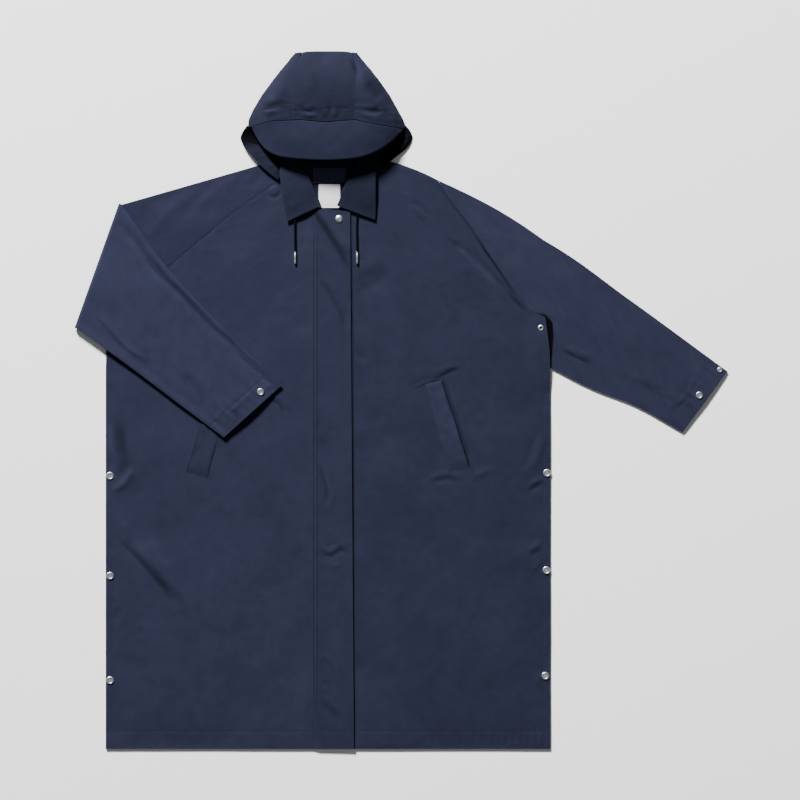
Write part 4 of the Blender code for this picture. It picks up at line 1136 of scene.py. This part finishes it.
upperAt = alongLine([(0.0, v) for v in hood["rows"]], 3.4, fine=[132, 112, 104, 96], finePitch=1.5, reach=4)
rowV = np.interp(upperAt, np.arange(len(hood["rows"])), hood["rows"])
floorV, floorHalf = onLine(hood["floorEdge"], np.linspace(0, len(hood["floorEdge"]) - 1, 13)[1:]).T
crownRise = hood["crownV"] - hood["rows"][0] - hood["crownRound"]
radius = hood["edgeRadius"]
flatShares = np.linspace(0, 1, 9)
angles = hood["turn"] * np.linspace(0, 1, 13)[1:] - 0.5 * math.pi
turnedHeight = radius * (1 + np.sin(angles))
overShares = spread(hood["sideWidth"], 2.8, fine=[hood["sideWidth"] - 2], finePitch=1.2, reach=3)[1:]
for name, column, sign in (("hood_left", 2, 1), ("hood_right", 1, -1)):
    v = np.concatenate([rowV, floorV])[:, None]
    rowPlace = np.concatenate([upperAt, np.ones(len(floorV))])[:, None]
    edge = np.concatenate([hoodTable("outline", column, rowV), sign * floorHalf])[:, None]
    flat = between(hood["middleU"] + sign * hood["floorSeam"], edge - sign * radius, flatShares)
    turned = edge - sign * radius * (1 - np.cos(angles))
    over = between(turned[:, -1:], hoodTable("seams", column, v), overShares)
    overV = leaned(over, v, rowPlace)
    overHeight = np.maximum(hoodSideHeight(over, overV), turnedHeight[-1])
    overV = overV + crownRise * np.maximum(1 - rowPlace, 0) * overShares
    lowHeight = np.concatenate([0 * flatShares, turnedHeight])
    grid = np.dstack([np.hstack(parts) for parts in (
        (flat, turned, over), (np.repeat(v, len(lowHeight), axis=1), overV),
        (np.tile(lowHeight, (len(v), 1)), overHeight))])
    closing = [grid[0] * (1, 1, stay) + (0, reach, 0) for reach, stay in reversed(hood["closing"])]
    grid = np.concatenate([closing, grid])
    kept = np.ones((grid.shape[0] - 1, grid.shape[1] - 1), bool)
    kept[len(upperAt) - 1 + len(closing):, len(flatShares) - 1:] = False
    clothSheet(name, grid, hoodFine, faces=-1, kept=kept, flatPlan="spans", paintedShading=hoodPaintedShading)

width = hood["stripWidth"]
shares = spread(width, 3.0, fine=[2, width - 2], finePitch=1.2, reach=3)
rounding = hood["crownRound"] * np.abs(2 * shares - 1) ** 5
v, rowPlace = rowV[::-1, None], upperAt[::-1, None]
u = between(hoodTable("seams", 1, v), hoodTable("seams", 2, v), shares)
bow = hood["crownBow"] * np.sin(np.pi * shares) * np.sin(np.pi * (1 - rowPlace / (len(hood["rows"]) - 1)))
floorU = hood["middleU"] + hood["floorSeam"] * (2 * shares - 1)
angles = hood["turn"] * (1 - np.arange(1, 13)[:, None] / 12) - 0.5 * math.pi
grid = np.concatenate([np.dstack(np.broadcast_arrays(*layer)) for layer in (
    (u, leaned(u, v, rowPlace) - rounding * np.maximum(1 - rowPlace, 0), hoodSeamHeight(v) + bow),
    (floorU, hood["crownV"] - radius * (1 - np.cos(angles)) - rounding, radius * (1 + np.sin(angles))),
    (floorU, between(hood["crownV"] - radius, backNeck["v"], np.arange(1, 24)[:, None] / 23), 0.0),
)])
clothSheet("hood_centre", grid, hoodFine, flatPlan="spans", paintedShading=hoodPaintedShading)

visorFolds = [
    (0.8, 16, 0, -100, 1108, -70, 1096, -40, 1092), (-0.6, 18, 0, -20, 1110, 0, 1090, 10, 1070),
    (0.6, 14, 0, 40, 1104, 66, 1096, 90, 1090), (-0.7, 10, 0, 70, 1112, 92, 1104, 110, 1098),
]


def visorRelief(at):
    fine = folds(at.u, at.v, visorFolds) + crumple(at.u, at.v, (0.4, 48, 71), (0.15, 20, 72))
    fine -= 0.35 * near(at.low, 3.0) + 0.15 * groove(at.low, 5.0, 1.2)
    return fine - 0.12 * groove(at.high, 6.0, 1.2) - 0.4 * near(at.high, 2.5)


width, depth = hood["visorSize"]
shares = spread(width, 3.2)
down = spread(depth, 2.8, fine=[5, depth - 5, depth - 18], finePitch=1.2, reach=3)[:, None]
seamLine = evenAlong(hood["visorSeam"], shares)
edgeLine = evenAlong(onCurve(hood["visorEdge"], np.linspace(0, len(hood["visorEdge"]) - 1, 91)), shares)
grid = between(np.column_stack([seamLine, hoodSideHeight(*seamLine.T)]), edgeLine, down[..., None])
grid[..., 1] -= hood["visorGap"] * (1 - down)
grid[..., 2] += hood["visorBow"] * np.sin(np.pi * down) * np.sin(np.pi * shares)
clothSheet("hood_visor", grid, visorRelief, look=(5, 20), flatPlan="spans")

# Each rim row: the outer edge, the fold where the facing ends, and the inner edge, each (u, v, height).
rim = {
    "right": [(-145, 1121, 4.0, -144, 1119, 3.4, -137, 1117, 3.0),
              (-152, 1111, 3.0, -149, 1109, 2.0, -128, 1103, 0.9),
              (-157, 1099, 4.5, -153, 1099, 2.8, -124, 1093, 0.9),
              (-154, 1088, 8.0, -146, 1092, 7.0, -120, 1090, 0.9),
              (-146, 1076, 10.5, -133, 1084, 9.5, -114, 1084, 0.9),
              (-134, 1062, 11.0, -120, 1072, 10.0, -104, 1078, 0.9),
              (-120, 1047, 11.0, -107, 1059, 10.0, -94, 1066, 1.5),
              (-104, 1033, 10.0, -94, 1045, 9.5, -86, 1052, 2.5),
              (-89, 1022, 8.5, -84, 1034, 8.0, -80, 1042, 4.0)],
    "left": [(140, 1120, 4.5, 139, 1118, 4.5, 137, 1114, 5.0),
             (147, 1112, 2.0, 144, 1110, 3.5, 130, 1102, 5.0),
             (151.5, 1102, 1.8, 147, 1101, 4.0, 126, 1094, 4.5),
             (149, 1090, 2.2, 143, 1092, 5.0, 122, 1090, 4.0),
             (140.5, 1078, 3.0, 134, 1082, 6.0, 114, 1084, 4.0),
             (125.5, 1066, 5.0, 120, 1072, 7.5, 104, 1078, 4.0),
             (111, 1054, 7.0, 106, 1061, 8.5, 96, 1068, 4.0),
             (96, 1040, 7.0, 94, 1047, 8.0, 90, 1056, 4.0)],
    "shadowAlong": {"right": (32.0, 22.0, -0.96, -0.36), "left": (900.0, 10.0, -0.85, -0.85)},
}


def rimRelief(at):
    middle = np.sin(np.pi * at.left / (at.left + at.right))
    gather = gathers(at.low, 7 * unevenness(at.u, at.v, 17, 81), 15.0)
    return middle * (0.3 + 0.22 * gather + 0.45 * unevenness(at.u, at.v, 12, 82))


# Painted shadow on the hood's rims: dark for a stretch from the rim's top end and toward its inner side,
# where the visor's shadow falls, with the rest at the lit strip's tone.
def rimShading(at, until, fade, dark, bright):
    inside = ease((at.left / (at.left + at.right) - 0.38) / 0.55)
    darker = np.maximum(near(at.low - until, fade), inside)
    blotches = crumple(at.u, at.v, (0.16, 16, 83), (0.12, 8, 84))
    return bright + blotches * (1 - darker) + (dark - bright) * darker


for side in ("right", "left"):
    rows = onCurve(rim[side], np.linspace(0, len(rim[side]) - 1, 64))
    grid = [onLine(row.reshape(3, 3), np.linspace(0, 2, 19)) for row in rows]
    clothSheet(f"hood_rim_{side}", grid, rimRelief, look=(30, 5),
               toneAndShade=lambda at: rimShading(at, *rim["shadowAlong"][side]))
print("hood made")

collar = {
    "right": [(-12, 976, -74, 947), (-18, 990, -77, 965), (-24, 1004, -80, 985), (-31, 1021, -83, 1004),
              (-38, 1037, -86, 1024), (-43, 1050, -86, 1043), (-38, 1058, -74, 1068), (-24, 1064, -42, 1086),
              (0, 1066, 0, 1092)],
    "left": [(16, 976, 85, 950), (22, 990, 86, 970), (26, 1004, 86, 990), (34, 1021, 86, 1010),
             (41, 1037, 86, 1033), (47, 1052, 84, 1056), (41, 1059, 72, 1074), (26, 1064, 43, 1088),
             (0, 1066, 0, 1092)],
    "width": 64.0, "under": 5.4, "outer": 2.8, "flatter": 1.0, "standDepth": 14.0, "tipLift": -0.5,
    "edgeLift": 1.8, "puff": 0.8,
}
collarFolds = {
    "right": [(0.5, 10, 0, -40, 990, -58, 980, -72, 962), (-0.4, 9, 0, -50, 1000, -64, 990, -78, 984)],
    "left": [(0.5, 10, 0, 40, 990, 58, 984, 80, 966), (-0.4, 9, 0, 44, 1004, 62, 1000, 80, 992)],
}


def collarRelief(at, ownFolds):
    fine = folds(at.u, at.v, ownFolds) + 0.3 * unevenness(at.u, at.v, 30, 91)
    fine -= 0.15 * groove(at.right, 5.5, 1.1) + 0.15 * groove(at.low, 5.5, 1.1)
    fine -= 0.45 * near(np.minimum(at.right, at.low), 3.0)
    return fine * ease((at.h - 8.0) / 2.5)


for side in ("right", "left"):
    table = np.array(collar[side], float)
    rowAt = alongLine(table[:, 2:], 3.0, fine=[5.5], finePitch=1.1, reach=4)
    rows = onCurve(table, rowAt)
    rowAt = rowAt[:, None]
    roll, edge = rows[:, :2], rows[:, 2:]
    outwards = unit(edge - roll)
    outer = collar["outer"] - collar["flatter"] * ease(1 - rowAt / 3.0)
    axis = roll + outwards * outer
    tip = collar["tipLift"] * ease(1 - 2 * rowAt / 5)
    tip = tip + collar["edgeLift"] * ease((rowAt - 0.6) / 2) * ease((6 - rowAt) / 2)
    under, stand = collar["under"], outwards * collar["standDepth"]
    columns = [(axis + stand * (1 - s), under) for s in (0, 0.25, 0.5, 0.75)]
    columns += [(axis - outwards * outer * math.sin(angle), under + outer * (1 - math.cos(angle)))
                for angle in np.linspace(0, math.pi, 13)[:-1]]
    columns += [(between(axis, edge, s), under + 2 * outer + collar["puff"] * math.sin(math.pi * s) + tip * s)
                for s in spread(collar["width"], 2.8, fine=[collar["width"] - 5.5], finePitch=1.1, reach=4)]
    clothSheet(f"collar_{side}", fromColumns(columns),
               lambda at: collarRelief(at, collarFolds[side]), look=(2, 1), faces=-1, flatPlan="spans")

facing = {"low": (-27, 1017), "high": (31, 1044), "counts": (30, 18), "height": 3.0}
label = {"low": (-17, 972), "high": (22, 1015), "counts": (34, 38), "height": 2.8, "wall": 0.7}


def rectangle(settings):
    ends = zip(settings["low"], settings["high"], settings["counts"])
    u, v = np.meshgrid(*(np.linspace(low, high, count) for low, high, count in ends))
    return np.dstack([u, v, np.full(u.shape, settings["height"])])


def labelRelief(at):
    ends = np.minimum(at.low, at.high)
    bow = 0.5 * np.sin(np.pi * at.left / (label["high"][0] - label["low"][0]))
    return bow + 0.2 * unevenness(at.u, at.v, 16, 97) - 0.25 * groove(ends, 3.0, 0.8)


clothSheet("neck_facing", rectangle(facing), lambda at: 0.25 * unevenness(at.u, at.v, 20, 95))
clothSheet("neck_label", rectangle(label), labelRelief, wall=label["wall"],
           material=labelMaterial)
print("collar and label made")

snap = {
    "radius": 7.2, "cuffRadius": 6.6, "edgeRadius": 5.0, "steps": 40, "sunk": 0.00015,
    "ringHeight": 2.0, "domeHeight": 2.8, "restsAt": 0.8, "neck": (20, 952), "cuffRight": (-121, 641),
    "cuffLeft": (668, 635), "cuffLeftTop": (704.8, 680.6),
    "ringProfile": [(0.0, 0.0), (1.0, 0.0), (1.0, 0.35), (0.93, 0.75), (0.80, 1.0), (0.68, 1.0),
                    (0.60, 0.82), (0.55, 0.55), (0.30, 0.5), (0.0, 0.5)],
    "domeProfile": [(0.0, 0.0), (1.0, 0.0), (1.0, 0.18), (0.94, 0.38), (0.84, 0.55), (0.66, 0.78),
                    (0.42, 0.93), (0.20, 0.99), (0.0, 1.0)],
}


def topOf(name, u, v):
    x, y, _ = toFrame((u, v, 0))
    return surfaces[name].ray_cast(Vector((x, y, 0.3)), Vector((0, 0, -1)))[0]


# A snap's cap, sunk a little into the cloth around it.
def addSnap(name, host, u, v, radius=snap["radius"], height=snap["ringHeight"], profile=snap["ringProfile"]):
    away = radius * snap["restsAt"]
    ring = [topOf(host, u + away * math.cos(a), v + away * math.sin(a)) for a in np.linspace(0, 5.5, 8)]
    x, y, _ = toFrame((u, v, 0))
    base = float(np.mean([place.z for place in ring if place])) - snap["sunk"]
    turnedShape(name + "_cap", [(r * radius, h * height) for r, h in profile], (x, y, base), (0, 0, 1),
                snap["steps"], name)


addSnap("snap_neck", "placket", *snap["neck"], height=snap["domeHeight"], profile=snap["domeProfile"])
for name, (u, v) in snapPlaces.items():
    if name.startswith("snap"):
        addSnap(name, "front_left" if "left" in name else "front_right", u, v)
addSnap("snap_cuff_left_front", "sleeve_left_front", *snap["cuffLeft"], snap["cuffRadius"])
addSnap("snap_cuff_left_top", "sleeve_left_front", *snap["cuffLeftTop"], snap["edgeRadius"])
addSnap("snap_cuff_right", "sleeve_right_back", *snap["cuffRight"], snap["cuffRadius"])
eyelet = {"hole": 2.4, "outer": 5.4, "height": 1.2, "above": 0.00005}
low, high, top = eyelet["hole"], eyelet["outer"], eyelet["height"]
ringShape = [(low, 0.0), (high - 0.1, 0.0), (high, 0.35), (high - 0.7, 0.85), (high - 1.7, top),
             (low + 0.5, top), (low + 0.05, 0.8), (low, 0.0)]
place = topOf("front_left", *snapPlaces["eyelet_underarm"]) + Vector((0, 0, eyelet["above"]))
turnedShape("eyelet_underarm_ring", ringShape, place, (0, 0, 1), snap["steps"], "eyelet_underarm")
print("snaps made")

stitch = {"pitch": 3.5, "length": 2.4, "width": 0.6, "height": 0.34, "sink": 0.04, "labelScale": 0.7}


# Where a stitch line runs on a piece: at a distance in from one of its edges.
def stitchLine(name, edge, inset):
    laid = sewn[name]
    distance = getattr(laid.at, edge)
    places = np.dstack([laid.points * 1000.0, laid.normals])
    if edge in ("low", "high"):
        distance, places = distance.T, places.swapaxes(0, 1)
    if edge in ("right", "high"):
        distance, places = distance[:, ::-1], places[:, ::-1]
    return np.array([[np.interp(inset, own, values) for values in place.T]
                     for own, place in zip(distance, places) if own[-1] > inset])


template = bmesh.new()
bmesh.ops.create_icosphere(template, subdivisions=1, radius=0.5)
template.verts.ensure_lookup_table()
stitchSpots = np.array([v.co for v in template.verts])
stitchFaces = np.array([[v.index for v in f.verts] for f in template.faces])
template.free()


# Each line is (piece, edge, inset, test of u and v and height); its stitches are joined in one piece.
def sewLines(name, lines, material=threadMaterial, scale=1.0):
    sizes = np.array([stitch["length"], stitch["width"], stitch["height"]]) * scale
    shape = stitchSpots * sizes + (0, 0, stitch["sink"])
    spots = []
    for piece, edge, inset, within in lines:
        line = stitchLine(piece, edge, inset)
        lengths = lengthsOf(line[:, :3])
        pitch = stitch["pitch"] * scale
        marks = np.arange(0.5 * pitch, lengths[-1], pitch)
        ahead, rows, behind = (
            np.stack([np.interp(marks + shift, lengths, values) for values in line.T], axis=1)
            for shift in (0.6, 0.0, -0.6))
        along = (ahead - behind)[:, :3]
        u, v = rows[:, 0] - layout["bodyMiddleX"], rows[:, 1] - layout["hemY"]
        keep = within(u, v, rows[:, 2]) & (np.linalg.norm(along, axis=1) > 0.5)
        rows, along = rows[keep], unit(along[keep])
        side = unit(np.cross(unit(rows[:, 3:]), along))
        turned = np.stack([along, side, np.cross(along, side)], axis=1)
        spots.append((rows[:, None, :3] + shape @ turned).reshape(-1, 3))
    spots = np.concatenate(spots) * 0.001
    starts = np.arange(0, len(spots), len(shape))[:, None, None]
    mesh = bpy.data.meshes.new(name)
    mesh.from_pydata(spots.tolist(), [], (stitchFaces + starts).reshape(-1, 3).tolist())
    bm = bmesh.new()
    bm.from_mesh(mesh)
    bpy.data.meshes.remove(mesh)
    addPiece(name, bm, material)


everywhere = lambda u, v, h: np.ones(u.shape, bool)
onFlap = lambda u, v, h: u > -18
onVent = lambda u, v, h: (v > front["vent"][0]) & (v < front["vent"][1])
fronts = ("front_left", "front_right")
sewLines("front_stitches", [
    *[(name, "low", front["hemStitches"], everywhere) for name in fronts],
    *[(name, "right", front["ventDepth"], onVent) for name in fronts],
    *[(name, "right", front["seamStitches"], lambda u, v, h: v > 790) for name in fronts],
])
sewLines("placket_stitches", [("placket", *line) for line in (
    ("left", 2.4, everywhere), ("left", 7.6, everywhere), ("high", 6.0, onFlap),
    ("low", front["hemStitches"], onFlap))])
sewLines("sleeve_stitches", [(name, "right", spreadSleeve["cuffDepth"], everywhere)
                             for name in ("sleeve_left_front", "sleeve_right_back", "sleeve_left_back")])
sewLines("welt_stitches", [(name, edge, 4.2, everywhere) for name in ("welt_left", "welt_right")
                           for edge in ("left", "low", "high")])
sewLines("hood_stitches", [
    *[("hood_centre", edge, 3.0, lambda u, v, h: h > 8.5) for edge in ("left", "right")],
    ("hood_visor", "low", 5.0, everywhere), ("hood_visor", "high", 6.0, everywhere),
])
sewLines("collar_stitches", [(f"collar_{side}", edge, 5.5, lambda u, v, h: h > 9.0)
                             for side in ("left", "right") for edge in ("right", "low")])
sewLines("label_stitches", [("neck_label", edge, 1.6, everywhere) for edge in ("left", "right", "high")],
         labelThreadMaterial, stitch["labelScale"])
print("stitches made")

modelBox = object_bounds()
{"cad": [list(corner) for corner in cadBox], "model": [list(corner) for corner in modelBox]}
